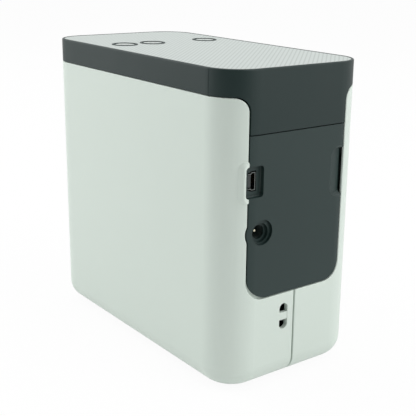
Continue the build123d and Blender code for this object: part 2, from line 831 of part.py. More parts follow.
def make_rear_panel():
    """The dark rear panel, with a sunk pocket for each socket and a finger grip beside the cover."""
    z = (panel_low, skirt_z - panel_gap / 2)
    panel = ring(panel_sink, z) & slab_y(panel_outline(), rear_zone)
    panel -= slab_y(panel_lip(panel_gap), rear_zone) & slab_z(plan(panel_sink + panel_lap), z)
    half = usb_pocket_height / 2 + usb_floor
    box_x = (usb_pocket_edge - usb_floor, panel_edges[1] - panel_gap)
    panel += block(box_x, (usb_floor_y[0], panel_face - wall / 2), (usb_z - half, usb_z + half))
    panel += slab_y(usb_notch(panel_gap), usb_floor_y)
    panel += rod_y(dc_x, dc_z, dc_collar_radius, (panel_back, panel_face)) & slab_z(plan(panel_sink), z)
    panel += rod_y(dc_x, jack_z, dc_step_radius + dc_floor, (dc_floor_y[0], panel_face - dc_pocket_depth))
    grip_y = (grip_floor - grip_skin, panel_back)
    grip_outer = (grip_span[0] - grip_skin, grip_span[1] + grip_skin)
    panel += block((panel_edges[0] + panel_gap, slit_x + grip_skin), grip_y, grip_outer)
    under_cover = block((grip_reach - grip_skin, panel_edges[0] + panel_gap), grip_y, grip_outer)
    panel += under_cover & slab_z(plan(wall + 2 * play), z)
    panel += block((clip_x[1], clip_x[1] + wall), (clip_y[0], panel_back), clip_z)
    pocket = slab_y(usb_pocket(), (usb_floor_y[1], rear_y + wall))
    panel -= fillet(pocket.faces().sort_by(Axis.Y)[0].edges(), usb_pocket_round)
    socket_hole = slab_y(usb_opening(usb_gap), (usb_floor_y[0] - wall, rear_y))
    panel -= socket_hole & block((0, usb_x + usb_shell_height / 2 + running), rear_zone, (0, height))
    panel -= rod_y(dc_x, dc_z, dc_pocket_radius, (panel_face - dc_pocket_depth, rear_y + wall))
    panel -= rod_y(dc_x, jack_z, dc_step_radius, (dc_floor_y[1], rear_y))
    panel -= rod_y(dc_x, jack_z, dc_bore_radius + running, (dc_floor_y[0] - wall, rear_y))
    ramp_points = [
        (grip_start, rear_y + wall),
        (grip_start, panel_face),
        (grip_bend, panel_face - grip_lip_depth),
        (slit_x, panel_face - grip_ramp_depth),
        (slit_x, grip_floor),
        (grip_reach, grip_floor),
        (grip_reach, rear_y + wall),
    ]
    panel += grip_bead()
    ramp = slab_z(polygon(*ramp_points), grip_span)
    low = grip_span[0]
    low_end = [(panel_face, low), (grip_floor, low), (grip_floor, low + grip_depth)]
    ramp -= slab_x(polygon(*low_end), (slit_x, grip_start + wall))
    mouth = rounded_rectangle((grip_reach - grip_radius, grip_start), grip_span, grip_radius)
    return panel - (ramp & slab_y(mouth, (0, rear_y + wall)))


def usb_opening(gap):
    """A mini USB socket's section in (X, Z): the wide half faces -X."""
    wide = usb_shell_width / 2 + gap
    narrow = usb_shell_narrow / 2 + gap
    low = usb_x - usb_shell_height / 2 - gap
    high = usb_x + usb_shell_height / 2 + gap
    points = [(low, -wide), (usb_x, -wide), (usb_x + gap + usb_step, -narrow), (high, -narrow)]
    mirrored = [(x, -z) for x, z in reversed(points)]
    return polygon(*[(x, usb_z + z) for x, z in points + mirrored])


def make_usb_socket():
    """The socket's bent steel shell, open at the rear, with its narrow side cut back."""
    shell = slab_y(usb_opening(0), usb_y)
    shell -= slab_y(usb_opening(-usb_shell_wall), (usb_y[0] + usb_shell_wall, usb_y[1] + wall))
    half = usb_shell_narrow / 2 - usb_shell_wall
    side_y = (usb_y[1] - usb_side_setback, rear_y)
    return shell - block((usb_x, usb_x + usb_shell_height), side_y, (usb_z - half, usb_z + half))


def make_usb_tongue():
    """The contact tongue in the socket."""
    middle = usb_x + usb_tongue_shift
    x = (middle - usb_tongue_thickness / 2, middle + usb_tongue_thickness / 2)
    half = usb_shell_narrow / 2 - usb_tongue_margin
    back = usb_y[0] + usb_shell_wall
    tongue = block(x, (back, usb_y[1] - usb_tongue_setback), (usb_z - half, usb_z + half))
    return tongue + slab_y(usb_opening(-usb_shell_wall - running), (back, back + usb_block))


def make_dc_jack():
    """The power socket's moulded body, bored for the plug."""
    x = (board_x[0] - dc_body_width, board_x[0])
    body = block(x, dc_y, (jack_z - dc_body_height / 2, jack_z + dc_body_height / 2))
    return body - rod_y(dc_x, jack_z, dc_bore_radius, (dc_y[1] - dc_bore_depth, dc_y[1] + wall))


def make_dc_pin():
    """The power socket's centre pin."""
    pin_y = (dc_y[1] - dc_bore_depth, dc_y[1] - dc_pin_setback)
    pin = rod_y(dc_x, jack_z, dc_pin_radius, pin_y)
    return fillet(pin.faces().sort_by(Axis.Y)[-1].edges(), dc_pin_radius / 2)


def board_posts():
    """The (Y, Z) places of the main board's four posts."""
    rows = (board_z[0] + board_post_inset, board_z[1] - board_post_inset)
    columns = (board_y[0] + board_post_inset, board_y[1] - board_post_inset - dc_body_length)
    return [(y, z) for y in columns for z in rows]


def make_main_board():
    """The main circuit board, on edge, with the sockets at its rear end."""
    board = block(board_x, board_y, board_z)
    for y, z in board_posts():
        board -= rod_x(y, z, screw_radius + running, (board_x[0] - wall, board_x[1] + wall))
    return board


def on_board(y, z, size_y, size_z, height_x):
    """A box on the board's inner face, placed from the board's front lower corner."""
    x = (board_x[0] - height_x, board_x[0])
    y = board_y[0] + y
    z = board_z[0] + z
    return block(x, (y - size_y / 2, y + size_y / 2), (z - size_z / 2, z + size_z / 2))


def make_board_chips():
    """The processor, its memory and the motor driver."""
    return Compound(children=[on_board(*place, chip_height) for place in chip_places])


def make_board_connectors():
    """The white plugs for the print head, the motors and the key board."""
    return Compound(children=[on_board(*place, plug_height) for place in plug_places])


def make_board_capacitors():
    """Two upright capacitors near the power socket."""
    x = (board_x[0] - capacitor_height, board_x[0])
    cans = []
    for along, up in capacitor_places:
        cans.append(rod_x(board_y[0] + along, board_z[0] + up, capacitor_radius, x))
    return Compound(children=cans)


def make_front_panel():
    """The dark front, with the tape slot and the lips that lead the tape to it."""
    z = (panel_low, shell_top)
    panel = ring(panel_sink, z) & slab_y(front_outline(seam), front_zone) & fixed_side()
    slot_x = (tape_edges[0] - slot_margin, tape_edges[1] + slot_margin)
    low = tape_z - slot_height / 2
    high = tape_z + slot_height / 2
    lip_y = (front_y + panel_sink + wall / 2, cutter_frame_y[0] - play)
    lip_x = (slot_x[0] - wall / 2, slot_x[1] + wall / 2)
    panel += block(lip_x, lip_y, (high, high + wall / 2))
    panel += block(lip_x, lip_y, (low - wall / 2, low))
    return panel - block(slot_x, front_zone, (low, high))


def make_base_plate():
    """The underside: a flat plate let in between the two halves, with seats for feet and screws."""
    plate = slab_z(plan(base_inset + seam), (foot_height, floor_z))
    for x in (-foot_x, foot_x):
        for y in (-foot_y, foot_y):
            plate -= rod_z(x, y, foot_radius + running, (0, foot_height + foot_seat))
    for x in (-base_screw_x, base_screw_x):
        for y in (-base_screw_y, base_screw_y):
            plate -= rod_z(x, y, screw_radius + running, (0, floor_top))
            plate -= rod_z(x, y, screw_head_radius + play, (0, foot_height + wall / 2))
    return plate


def make_rubber_feet():
    feet = []
    for x in (-foot_x, foot_x):
        for y in (-foot_y, foot_y):
            foot = rod_z(x, y, foot_radius, (0, foot_height + foot_seat))
            feet.append(fillet(foot.faces().sort_by(Axis.Z)[0].edges(), foot_round))
    return Compound(children=feet)


def screw(plane, length):
    """A round-headed screw: its head stands on the plane and its shank runs along the normal."""
    shank = extrude(plane * Circle(screw_radius), amount=length)
    head = extrude(plane * Circle(screw_head_radius), amount=-screw_head)
    socket = extrude(plane.offset(-screw_head) * RegularPolygon(screw_radius, 6), amount=screw_head / 2)
    return shank + head - socket


def make_base_screws():
    screws = []
    for x in (-base_screw_x, base_screw_x):
        for y in (-base_screw_y, base_screw_y):
            low = foot_height + wall / 2
            plane = Plane((x, y, low), x_dir=(1, 0, 0), z_dir=(0, 0, 1))
            shank = extrude(plane * Circle(screw_radius), amount=frame_foot)
            head = extrude(plane * Circle(screw_head_radius), amount=-wall / 2 + play)
            screws.append(shank + head)
    return Compound(children=screws)


def make_case_screws():
    """The long screws that pull the fixed side on to the frame, and those that hold the top cover."""
    screws = []
    for y in (-post_y, post_y):
        for z in (post_low, post_high):
            plane = Plane((wall_x[0], y, z), x_dir=(0, 1, 0), z_dir=(1, 0, 0))
            screws.append(screw(plane, half_w - 2 * wall - wall_x[0]))
    for x in boss_columns:
        for y in (-boss_y, boss_y):
            plane = Plane((x, y, wall_top - boss_height), x_dir=(1, 0, 0), z_dir=(0, 0, 1))
            screws.append(screw(plane, boss_height + cover_screw_grip))
    return Compound(children=screws)


def make_board_screws():
    """The screws of the main board and the key board."""
    screws = []
    for y, z in board_posts():
        plane = Plane((board_x[1], y, z), x_dir=(0, 1, 0), z_dir=(-1, 0, 0))
        screws.append(screw(plane, board_screw_length))
    low = key_board_low
    for x in (-cover_boss_spacing / 2, cover_boss_spacing / 2):
        for y in (key_row - cover_boss_rows / 2, key_row + cover_boss_rows / 2):
            shank = rod_z(x, y, screw_radius / 2, (low, low + board_screw_length))
            screws.append(shank + rod_z(x, y, cover_boss_radius, (low - screw_head / 2, low)))
    return Compound(children=screws)


def make_chassis_frame():
    """The frame: a floor, an upright wall between the cassette bay and the works, a well for the
    cassette, posts for the boards and the casing, and the hinge lug."""
    frame = slab_z(plan(base_inset + seam), (floor_z, floor_top))
    foot_span = rear_y - base_inset - 2 * wall
    frame += block(wall_x, (-foot_span, foot_span), (floor_z, panel_low))
    long_span = (front_y + panel_sink + wall + play, panel_back - play)
    frame += block(wall_x, long_span, (panel_low, wall_top))
    well = (wall_x[0] - cassette_thickness / 2, wall_x[0])
    low = cassette_low - play
    frame += block(well, (cassette_y[0] - play - wall, cassette_y[1] + play + wall), (low - wall, low))
    frame += block(well, (cassette_y[1] + play, cassette_y[1] + play + wall), (low - wall, cassette_top))
    front_rib = (low - wall, cassette_low + cassette_depth / 2)
    frame += block(well, (cassette_y[0] - play - wall, cassette_y[0] - play), front_rib)
    for y in (-post_y, post_y):
        for z in (post_low, post_high):
            frame += rod_x(y, z, post_radius, (wall_x[0], post_x))
            frame -= rod_x(y, z, screw_radius + play / 2, (wall_x[0] - wall, post_x + wall))
    for x in boss_columns:
        for y in (-boss_y, boss_y):
            frame += rod_z(x, y, post_radius, (wall_top - boss_height, wall_top))
            frame -= rod_z(x, y, screw_radius + play / 2, (wall_top - boss_height - wall, wall_top + wall))
            head_z = (wall_top - boss_height - screw_head - play, wall_top - boss_height)
            frame -= rod_z(x, y, screw_head_radius + play, head_z)
    for y, z in board_posts():
        frame += rod_x(y, z, board_post_radius, (wall_x[0] + running, board_x[0]))
        thread_x = (board_x[0] - board_screw_length - play, board_x[0] + wall)
        frame -= rod_x(y, z, screw_radius + running, thread_x)
    for x in (-base_screw_x, base_screw_x):
        for y in (-base_screw_y, base_screw_y):
            frame += rod_z(x, y, post_radius, (floor_z, floor_z + frame_foot))
            frame -= rod_z(x, y, screw_radius + running, (0, foot_height + wall / 2 + frame_foot + play))
    for y, z in bracket_posts():
        frame += rod_x(y, z, board_post_radius, (wall_x[0] + running, bracket_x[0]))
    return drill_frame(frame) + hinge_lug()


def hinge_lug():
    """The fixed half of the cover's lower hinge, on an arm from the floor."""
    arm_length = base_inset + wall
    inner = hinge_point(0, -arm_length)
    arm_z = (floor_top, hinge_lug_top)
    middle = hinge_point(0, -arm_length / 2)
    arm = slab_z(Pos(*middle) * Rot(0, 0, -hinge_turn) * Rectangle(2 * post_radius, arm_length), arm_z)
    lug = rod_z(hinge_x, hinge_y, hinge_lug_radius, (foot_height, hinge_lug_top))
    lug += arm + rod_z(*inner, post_radius, (floor_z, hinge_lug_top))
    lug &= casing_block(play, hinge_lug_top)
    return lug - rod_z(hinge_x, hinge_y, hinge_pin_radius + running, (floor_top + play, height))


def bracket_posts():
    """The (Y, Z) places of the gear bracket's posts, round the gears."""
    columns = (pinion_y - bracket_front, takeup_y + bracket_back)
    rows = (takeup_z - bracket_below, drive_z + bracket_above)
    return [(y, z) for z in rows for y in columns]


def drill_frame(frame):
    """Bores and windows in the upright wall for the shafts, the rollers and the cutter."""
    through = (wall_x[0] - wall, wall_x[1] + wall)
    frame -= rod_x(drive_y, drive_z, drive_axle_radius + running, through)
    frame -= rod_x(takeup_y, takeup_z, ribbon_shaft_radius + running, through)
    frame += rod_x(holder_y, holder_z, holder_tube_radius, (wall_x[0] + running, wall_x[1] + wall))
    frame -= rod_x(holder_y, holder_z, holder_pin_radius + running, (wall_x[0] - wall, wall_x[1] + 2 * wall))
    lift = math.radians(lift_angle)
    for y in (pinch_y, platen_y):
        rise = (holder_y - y) * math.sin(lift) + wall
        side = roller_shaft + 2 * play
        back = (holder_z - roller_z) * math.sin(lift) + side
        frame -= block(through, (y - back - play, y + side), (roller_z - side, roller_z + rise + side))
    window_y = (cutter_frame_y[0], crank_y[0] + play)
    window_z = (lever_z - cutter_frame_low - play, lever_z + cutter_frame_high + play)
    frame -= block(through, window_y, window_z)
    lug_x = (wall_x[0] + running, crank_x + cutter_motor_radius)
    lug_z = (lever_z - lever_hub_radius, cutter_motor_z + cutter_motor_radius)
    lug = block(lug_x, lug_y, lug_z)
    lug -= rod_y(crank_x, lever_z, lever_pin_radius + running, (lug_y[0] - wall, lug_y[1] + wall))
    lug -= rod_y(crank_x, cutter_motor_z, cutter_shaft_radius + play, (lug_y[0] - wall, lug_y[1] + wall))
    return frame + lug


def make_hinge_pins():
    """Two steel pins: one stands in the frame's lug, one hangs from the top cover."""
    low = (floor_top + play, hinge_lug_top + play + hinge_pin_grip)
    high = (shell_top - hinge_pin_grip, deck_low - play - running)
    return Compound(children=[rod_z(hinge_x, hinge_y, hinge_pin_radius, span) for span in (low, high)])


def involute(angle):
    return math.tan(angle) - angle


def gear(teeth, module, phase):
    """A spur gear's outline round the origin with one tooth at the phase angle: involute flanks in
    straight steps, thinned by the backlash."""
    pressure = math.radians(pressure_angle)
    pitch = teeth * module / 2
    base = pitch * math.cos(pressure)
    root = pitch - gear_root * module
    tip = pitch + gear_tip * module
    half = (math.pi * module / 2 - gear_backlash) / (2 * pitch)
    start = max(base, root)
    flank = [start + (tip - start) * step / flank_steps for step in range(flank_steps + 1)]
    if root < base:
        flank.insert(0, root)
    points = []
    for tooth in range(teeth):
        centre = phase + 2 * math.pi * tooth / teeth
        sides = []
        for radius in flank:
            slope = math.acos(min(1.0, base / radius))
            sides.append((radius, half + involute(pressure) - involute(slope)))
        for radius, lean in sides:
            points.append((radius * math.cos(centre - lean), radius * math.sin(centre - lean)))
        for radius, lean in reversed(sides):
            points.append((radius * math.cos(centre + lean), radius * math.sin(centre + lean)))
    return polygon(*points)


def meshing(phase, teeth, direction, mate_teeth):
    """The mate's phase angle so that its gap faces a gear's tooth along the line of centres."""
    pitch = 2 * math.pi / teeth
    offset = (phase - direction + pitch / 2) % pitch - pitch / 2
    return direction + math.pi - offset * teeth / mate_teeth + math.pi / mate_teeth


def feed_gear(y, z, teeth, x):
    """A gear of the feed train in mesh with the drive gear."""
    direction = math.atan2(z - drive_z, y - drive_y)
    phase = meshing(drive_phase, drive_teeth, direction, teeth)
    return slab_x(Pos(y, z) * gear(teeth, gear_module, phase), x)


def make_drive_gear():
    """The large gear that drives both rollers and the ribbon."""
    wheel = slab_x(Pos(drive_y, drive_z) * gear(drive_teeth, gear_module, drive_phase), gear_x)
    hub_x = (wall_x[1] + play, bracket_x[0] - play)
    wheel += rod_x(drive_y, drive_z, 2 * drive_axle_radius, hub_x)
    return wheel - rod_x(drive_y, drive_z, drive_axle_radius + running, (wall_x[1], bracket_x[0]))


def make_drive_axle():
    return rod_x(drive_y, drive_z, drive_axle_radius, (wall_x[0], bracket_x[1]))


def make_motor_pinion():
    """The feed motor's shaft with its pinion."""
    pinion = feed_gear(pinion_y, pinion_z, pinion_teeth, gear_x)
    shaft_x = (gear_x[0], bracket_x[1] + feed_motor_length / 2)
    return pinion + rod_x(pinion_y, pinion_z, roller_shaft, shaft_x)


def make_feed_motor():
    """The feed motor: a round steel can with a bearing boss in the bracket."""
    can_x = (bracket_x[1], bracket_x[1] + feed_motor_length)
    can = rod_x(pinion_y, pinion_z, feed_motor_radius, can_x)
    can = fillet(can.faces().sort_by(Axis.X)[-1].edges(), can_round)
    can += rod_x(pinion_y, pinion_z, feed_motor_boss, bracket_x)
    bore_x = (bracket_x[0] - wall, bracket_x[1] + feed_motor_length / 2 + play)
    return can - rod_x(pinion_y, pinion_z, roller_shaft + running, bore_x)


def make_motor_bracket():
    """The steel plate over the gears that carries the motor and the gears' outer ends."""
    posts = bracket_posts()
    y = (posts[0][0] - board_post_radius, posts[1][0] + board_post_radius)
    z = (posts[0][1] - board_post_radius, posts[2][1] + board_post_radius + running)
    plate = block(bracket_x, y, z)
    through = (bracket_x[0] - wall, bracket_x[1] + wall)
    plate -= rod_x(pinion_y, pinion_z, feed_motor_boss + running, through)
    plate -= rod_x(drive_y, drive_z, drive_axle_radius + running, through)
    return plate - rod_x(takeup_y, takeup_z, roller_shaft + running, through)


def make_ribbon_shaft():
    """The ribbon's drive: a gear, a bearing journal in the wall and a square end in the cassette."""
    shaft = feed_gear(takeup_y, takeup_z, takeup_teeth, gear_x)
    shaft += rod_x(takeup_y, takeup_z, ribbon_shaft_radius, (wall_x[0], gear_x[0]))
    shaft += rod_x(takeup_y, takeup_z, roller_shaft, (gear_x[1], bracket_x[1]))
    half = ribbon_square / 2
    square_x = (tape_edges[0], wall_x[0])
    return shaft + block(square_x, (takeup_y - half, takeup_y + half), (takeup_z - half, takeup_z + half))


def make_takeup_spool():
    """The used ribbon on its core, with a square bore for the drive."""
    spool = rod_x(takeup_y, takeup_z, takeup_radius, spool_x)
    half = ribbon_square / 2 + running
    return spool - block(spool_x, (takeup_y - half, takeup_y + half), (takeup_z - half, takeup_z + half))


def make_supply_spool():
    """The unused ribbon on its core."""
    spool = rod_x(supply_y, supply_z, supply_radius, spool_x)
    return spool - rod_x(supply_y, supply_z, supply_bore, spool_x)


def make_tape_roll():
    """The wound label tape on its core."""
    roll = rod_x(roll_y, roll_z, roll_radius, spool_x)
    return roll - rod_x(roll_y, roll_z, roll_bore, spool_x)


def make_label_tape():
    """The free tape from the roll over the print head to the cutter."""
    half = tape_thickness / 2
    start = (roll_y + tape_lead, roll_z + roll_radius + play)
    bend = platen_y + notch_width
    end = lever_y[1] + play
    lower = [start, (bend, tape_z - half), (end, tape_z - half)]
    upper = [(end, tape_z + half), (bend, tape_z + half), (start[0], start[1] + 2 * half)]
    return slab_x(polygon(*lower, *upper), tape_edges)


def cassette_outline(inset):
    """The cassette's side view in (Y, Z): a rounded box with a notch for the head in its top."""
    y = (cassette_y[0] + inset, cassette_y[1] - inset)
    z = (cassette_low + inset, cassette_top - inset)
    body = rounded_rectangle(y, z, cassette_corner - inset)
    notch = (platen_y - notch_width / 2 - inset, platen_y + notch_width / 2 + inset)
    floor = tape_z - notch_depth - inset
    body -= rectangle(notch, (floor, cassette_top))
    low_top = tape_low - 3 * nip - tape_thickness - inset
    return body - rectangle((cassette_y[0] - wall, notch[0] + inset), (low_top, cassette_top + wall))


def cassette_openings(half):
    """The mouth for the roller, the slot for the tape and the bearings of the roller."""
    room = (tape_edges[0] - spool_margin, tape_edges[1] + spool_margin)
    side = cassette_roller_radius + play
    mouth_y = (cassette_y[0] - wall, pinch_y + side)
    half -= block(room, mouth_y, (cassette_roller_z - side, tape_z))
    slot_y = (platen_y, platen_y + notch_width / 2 + 2 * cassette_wall)
    half -= block(room, slot_y, (tape_low - 2 * play, tape_high + 2 * play))
    return half - rod_x(pinch_y, cassette_roller_z, roller_shaft + running, cassette_x)


def make_cassette_case():
    """The cassette's inner half, with the hubs that the rolls turn on."""
    half_x = (tape_x, cassette_x[1])
    room_x = (tape_x - wall, cassette_x[1] - cassette_wall)
    case = slab_x(cassette_outline(0), half_x) - slab_x(cassette_outline(cassette_wall), room_x)
    hub_x = (spool_x[0], cassette_x[1] - cassette_wall / 2)
    case += rod_x(roll_y, roll_z, roll_bore - hub_gap, hub_x)
    case += rod_x(supply_y, supply_z, supply_bore - hub_gap, hub_x)
    case -= rod_x(takeup_y, takeup_z, takeup_radius - cassette_wall, (tape_x, wall_x[0]))
    return cassette_openings(case)


def make_cassette_lid():
    """The cassette's outer half, with a window on the roll."""
    half_x = (cassette_x[0], tape_x)
    room_x = (cassette_x[0] + cassette_wall, tape_x + wall)
    lid = slab_x(cassette_outline(0), half_x) - slab_x(cassette_outline(cassette_wall), room_x)
    window = Pos(roll_y, roll_z - roll_radius / 2) * SlotOverall(roll_radius, roll_radius / 3)
    lid -= slab_x(window, (cassette_x[0] - wall, room_x[0] + running))
    return cassette_openings(lid)


def make_cassette_roller():
    """The cassette's own tape roller, turning in the two halves."""
    roller = rod_x(pinch_y, cassette_roller_z, cassette_roller_radius, tape_edges)
    end_x = (cassette_x[0] + cassette_wall / 3, cassette_x[1] - cassette_wall / 3)
    return roller + rod_x(pinch_y, cassette_roller_z, roller_shaft, end_x)


def make_roller(y):
    """A steel roller core with its journals and its gear."""
    core = rod_x(y, roller_z, roller_core, roller_span)
    core += rod_x(y, roller_z, roller_shaft, (cheek_left[0], gear_x[0] + running))
    return core + feed_gear(y, roller_z, roller_teeth, gear_x)


def make_roller_sleeve(y):
    """The rubber on a roller."""
    sleeve = rod_x(y, roller_z, roller_radius, roller_span)
    return sleeve - rod_x(y, roller_z, roller_core, roller_span)


def make_roller_holder():
    """The lever that presses both rollers on to the tape: two cheeks, a bridge and a pivot tube."""
    ear = roller_shaft + cheek
    outline = disc(holder_y, holder_z, holder_tube_radius)
    rise = holder_z + holder_tube_radius
    arm = polygon(
        (pinch_y - ear, roller_z - ear),
        (platen_y + ear, roller_z - ear),
        (platen_y + 3 * ear, roller_z),
        (holder_y, holder_z - holder_tube_radius),
        (holder_y, rise),
        (drive_y, roller_z + roller_radius + 2 * cheek),
        (pinch_y - ear, roller_z + ear),
    )
    outline += arm
    holder = slab_x(outline, cheek_left) + slab_x(outline, cheek_right)
    bridge = polygon(
        (drive_y, roller_z + roller_radius + cheek),
        (drive_y, roller_z + roller_radius + 2 * cheek),
        (holder_y, rise),
        (holder_y, rise - cheek),
    )
    holder += slab_x(bridge, (cheek_left[0], cheek_right[1]))
    holder += rod_x(holder_y, holder_z, holder_tube_radius, (cheek_left[0], cheek_right[1]))
    through = (cheek_left[0] - wall, cheek_right[1] + wall)
    holder -= rod_x(holder_y, holder_z, holder_pin_radius + running, through)
    for y in (pinch_y, platen_y):
        holder -= rod_x(y, roller_z, roller_shaft + running, through)
    return holder


def make_holder_pin():
    """The steel pin in the wall that the roller holder swings on."""
    pin = rod_x(holder_y, holder_z, holder_pin_radius, (cheek_left[0] - play, wall_x[1] + wall))
    head = (cheek_left[0] - play - wall / 2, cheek_left[0] - play)
    return pin + rod_x(holder_y, holder_z, holder_pin_radius + wall / 2, head)


def make_print_head():
    """The ceramic heater strip under the tape."""
    y = (platen_y - head_width / 2, platen_y + head_width / 2)
    return block((tape_edges[0] - play, tape_edges[1] + play), y, head_z)


def make_head_bracket():
    """The aluminium bar under the heater strip, on a foot against the wall."""
    low = tape_z - notch_depth + head_gap
    beam_y = (platen_y - head_beam / 2, platen_y + head_beam / 2)
    bar = block((tape_edges[0] - play, wall_x[0]), beam_y, (low, head_z[0]))
    foot_y = (platen_y - head_width / 2 - cheek, platen_y + head_width / 2 + cheek)
    return bar + block((wall_x[0] - head_foot, wall_x[0]), foot_y, (low, head_z[0]))


def make_cutter_frame():
    """The steel plate across the tape's way that carries the blades."""
    x = (cutter_left, crank_x + crank_throw)
    plate = block(x, cutter_frame_y, (lever_z - cutter_frame_low, lever_z + cutter_frame_high))
    slot = (tape_edges[0] - slot_margin, tape_edges[1] + slot_margin)
    plate -= block(slot, cutter_frame_y, (tape_z - slot_height / 2, tape_z + slot_height / 2))
    return plate - rod_y(lever_pivot_x, lever_z, lever_pin_radius + running, cutter_frame_y)


def make_fixed_blade():
    """The lower blade, screwed to the back of the plate."""
    x = (cutter_left, wall_x[0] - play)
    return block(x, fixed_blade_y, (lever_z - cutter_frame_low + play, tape_low - nip))


def make_cutter_lever():
    """The upper blade and its drive arm in one stamping, drawn shut and then swung open to rest."""
    shut = tape_low - nip - blade_shear - lever_z
    left = cutter_left - lever_pivot_x
    blade = polygon((0, shut), (left, shut), (left, shut + blade_tip_height), (0, shut + blade_height))
    outline = blade + Circle(lever_hub_radius)
    arm_length = crank_arm + crank_throw + lever_arm_end
    arm = Pos(arm_length / 2, 0) * Rectangle(arm_length, lever_arm_width)
    slot_centre = crank_arm + lever_slot_shift
    slot = SlotCenterToCenter(crank_throw, 2 * (crank_pin_radius + play / 2))
    outline += Rot(0, 0, lever_turn / 2) * (arm - Pos(slot_centre, 0) * slot)
    outline -= Circle(lever_pin_radius + running)
    return slab_y(Pos(lever_pivot_x, lever_z) * Rot(0, 0, -lever_turn) * outline, lever_y)


def make_cutter_crank():
    """The cutter's gear with the pin that swings the lever."""
    wheel = Pos(crank_x, lever_z) * gear(crank_teeth, cutter_module, crank_phase)
    crank = slab_y(wheel, crank_y)
    crank -= rod_y(crank_x, lever_z, lever_pin_radius + running, crank_y)
    return crank + rod_y(*crank_pin, crank_pin_radius, (lever_y[0], crank_y[0]))


def make_cutter_pins():
    """The lever's pivot in the plate and the crank's axle in the frame's lug."""
    pivot = rod_y(lever_pivot_x, lever_z, lever_pin_radius, (cutter_frame_y[0], lever_y[1] + play))
    head = (lever_y[1] + running, lever_y[1] + play + running)
    pivot += rod_y(lever_pivot_x, lever_z, lever_head_radius, head)
    return Compound(children=[pivot, rod_y(crank_x, lever_z, lever_pin_radius, (crank_y[0], lug_y[1]))])


def make_cutter_motor():
    """The small motor behind the lug."""
    can = rod_y(crank_x, cutter_motor_z, cutter_motor_radius, (lug_y[1], lug_y[1] + cutter_motor_length))
    can = fillet(can.faces().sort_by(Axis.Y)[-1].edges(), can_round)
    bore = (lug_y[1] - wall, lug_y[1] + cutter_motor_length / 2 + play)
    return can - rod_y(crank_x, cutter_motor_z, cutter_shaft_radius + running, bore)


def make_cutter_pinion():
    """The small motor's shaft and pinion, in mesh with the crank's gear."""
    phase = meshing(crank_phase, crank_teeth, math.pi / 2, pinion_teeth)
    pinion = slab_y(Pos(crank_x, cutter_motor_z) * gear(pinion_teeth, cutter_module, phase), crank_y)
    shaft = (crank_y[0], lug_y[1] + cutter_motor_length / 2)
    return pinion + rod_y(crank_x, cutter_motor_z, cutter_shaft_radius, shaft)


parts = {
    "right_shell": make_right_shell(),
    "cassette_cover": make_cassette_cover(),
    "top_cover": make_top_cover(),
    "top_inlay": make_top_inlay(),
    "rear_panel": make_rear_panel(),
    "front_panel": make_front_panel(),
    "base_plate": make_base_plate(),
    "rubber_feet": make_rubber_feet(),
    "base_screws": make_base_screws(),
    "chassis_frame": make_chassis_frame(),
    "case_screws": make_case_screws(),
    "hinge_pins": make_hinge_pins(),
    "latch_clip": make_latch_clip(),
    "key_board": make_key_board(),
    "key_switches": make_key_switches(),
    "main_board": make_main_board(),
    "board_chips": make_board_chips(),
    "board_connectors": make_board_connectors(),
    "board_capacitors": make_board_capacitors(),
    "board_screws": make_board_screws(),
    "usb_socket": make_usb_socket(),
    "usb_tongue": make_usb_tongue(),
    "dc_jack": make_dc_jack(),
    "dc_pin": make_dc_pin(),
    "drive_gear": make_drive_gear(),
    "drive_axle": make_drive_axle(),
    "motor_pinion": make_motor_pinion(),
    "feed_motor": make_feed_motor(),
    "motor_bracket": make_motor_bracket(),
    "ribbon_shaft": make_ribbon_shaft(),
    "takeup_spool": make_takeup_spool(),
    "supply_spool": make_supply_spool(),
    "tape_roll": make_tape_roll(),
    "label_tape": make_label_tape(),
    "cassette_case": make_cassette_case(),
    "cassette_lid": make_cassette_lid(),
    "cassette_roller": make_cassette_roller(),
    "platen_roller": make_roller(platen_y),
    "platen_sleeve": make_roller_sleeve(platen_y),
    "pinch_roller": make_roller(pinch_y),
    "pinch_sleeve": make_roller_sleeve(pinch_y),
    "roller_holder": make_roller_holder(),
    "holder_pin": make_holder_pin(),
    "print_head": make_print_head(),
    "head_bracket": make_head_bracket(),
    "cutter_frame": make_cutter_frame(),
    "fixed_blade": make_fixed_blade(),
    "cutter_lever": make_cutter_lever(),
    "cutter_crank": make_cutter_crank(),
    "cutter_pins": make_cutter_pins(),
    "cutter_motor": make_cutter_motor(),
    "cutter_pinion": make_cutter_pinion(),
}
for name, x in key_columns.items():
    parts[name + "_key"] = make_key(x)
    parts[name + "_plunger"] = make_key_plunger(x)

os.makedirs("parts", exist_ok=True)
for name, shape in parts.items():
    export_step(shape, os.path.join("parts", name + ".step"))
print("hinge axis", round(hinge_x, 4), round(hinge_y, 4))
print("feed gear centres", [round(v, 4) for v in (drive_y, drive_z, takeup_y, takeup_z, pinion_y, pinion_z)])
print("rollers", round(pinch_y, 4), round(platen_y, 4), round(roller_z, 4), round(cassette_roller_z, 4))
print("spools", [round(v, 4) for v in (roll_y, roll_z, supply_y, supply_z)])
print("holder pivot", round(holder_y, 4), round(holder_z, 4))
print("cutter", [round(v, 4) for v in (lever_pivot_x, lever_z, crank_x, cutter_motor_z, lever_turn)])
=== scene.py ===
import math

import bpy
import numpy as np
from mathutils import Matrix, Vector


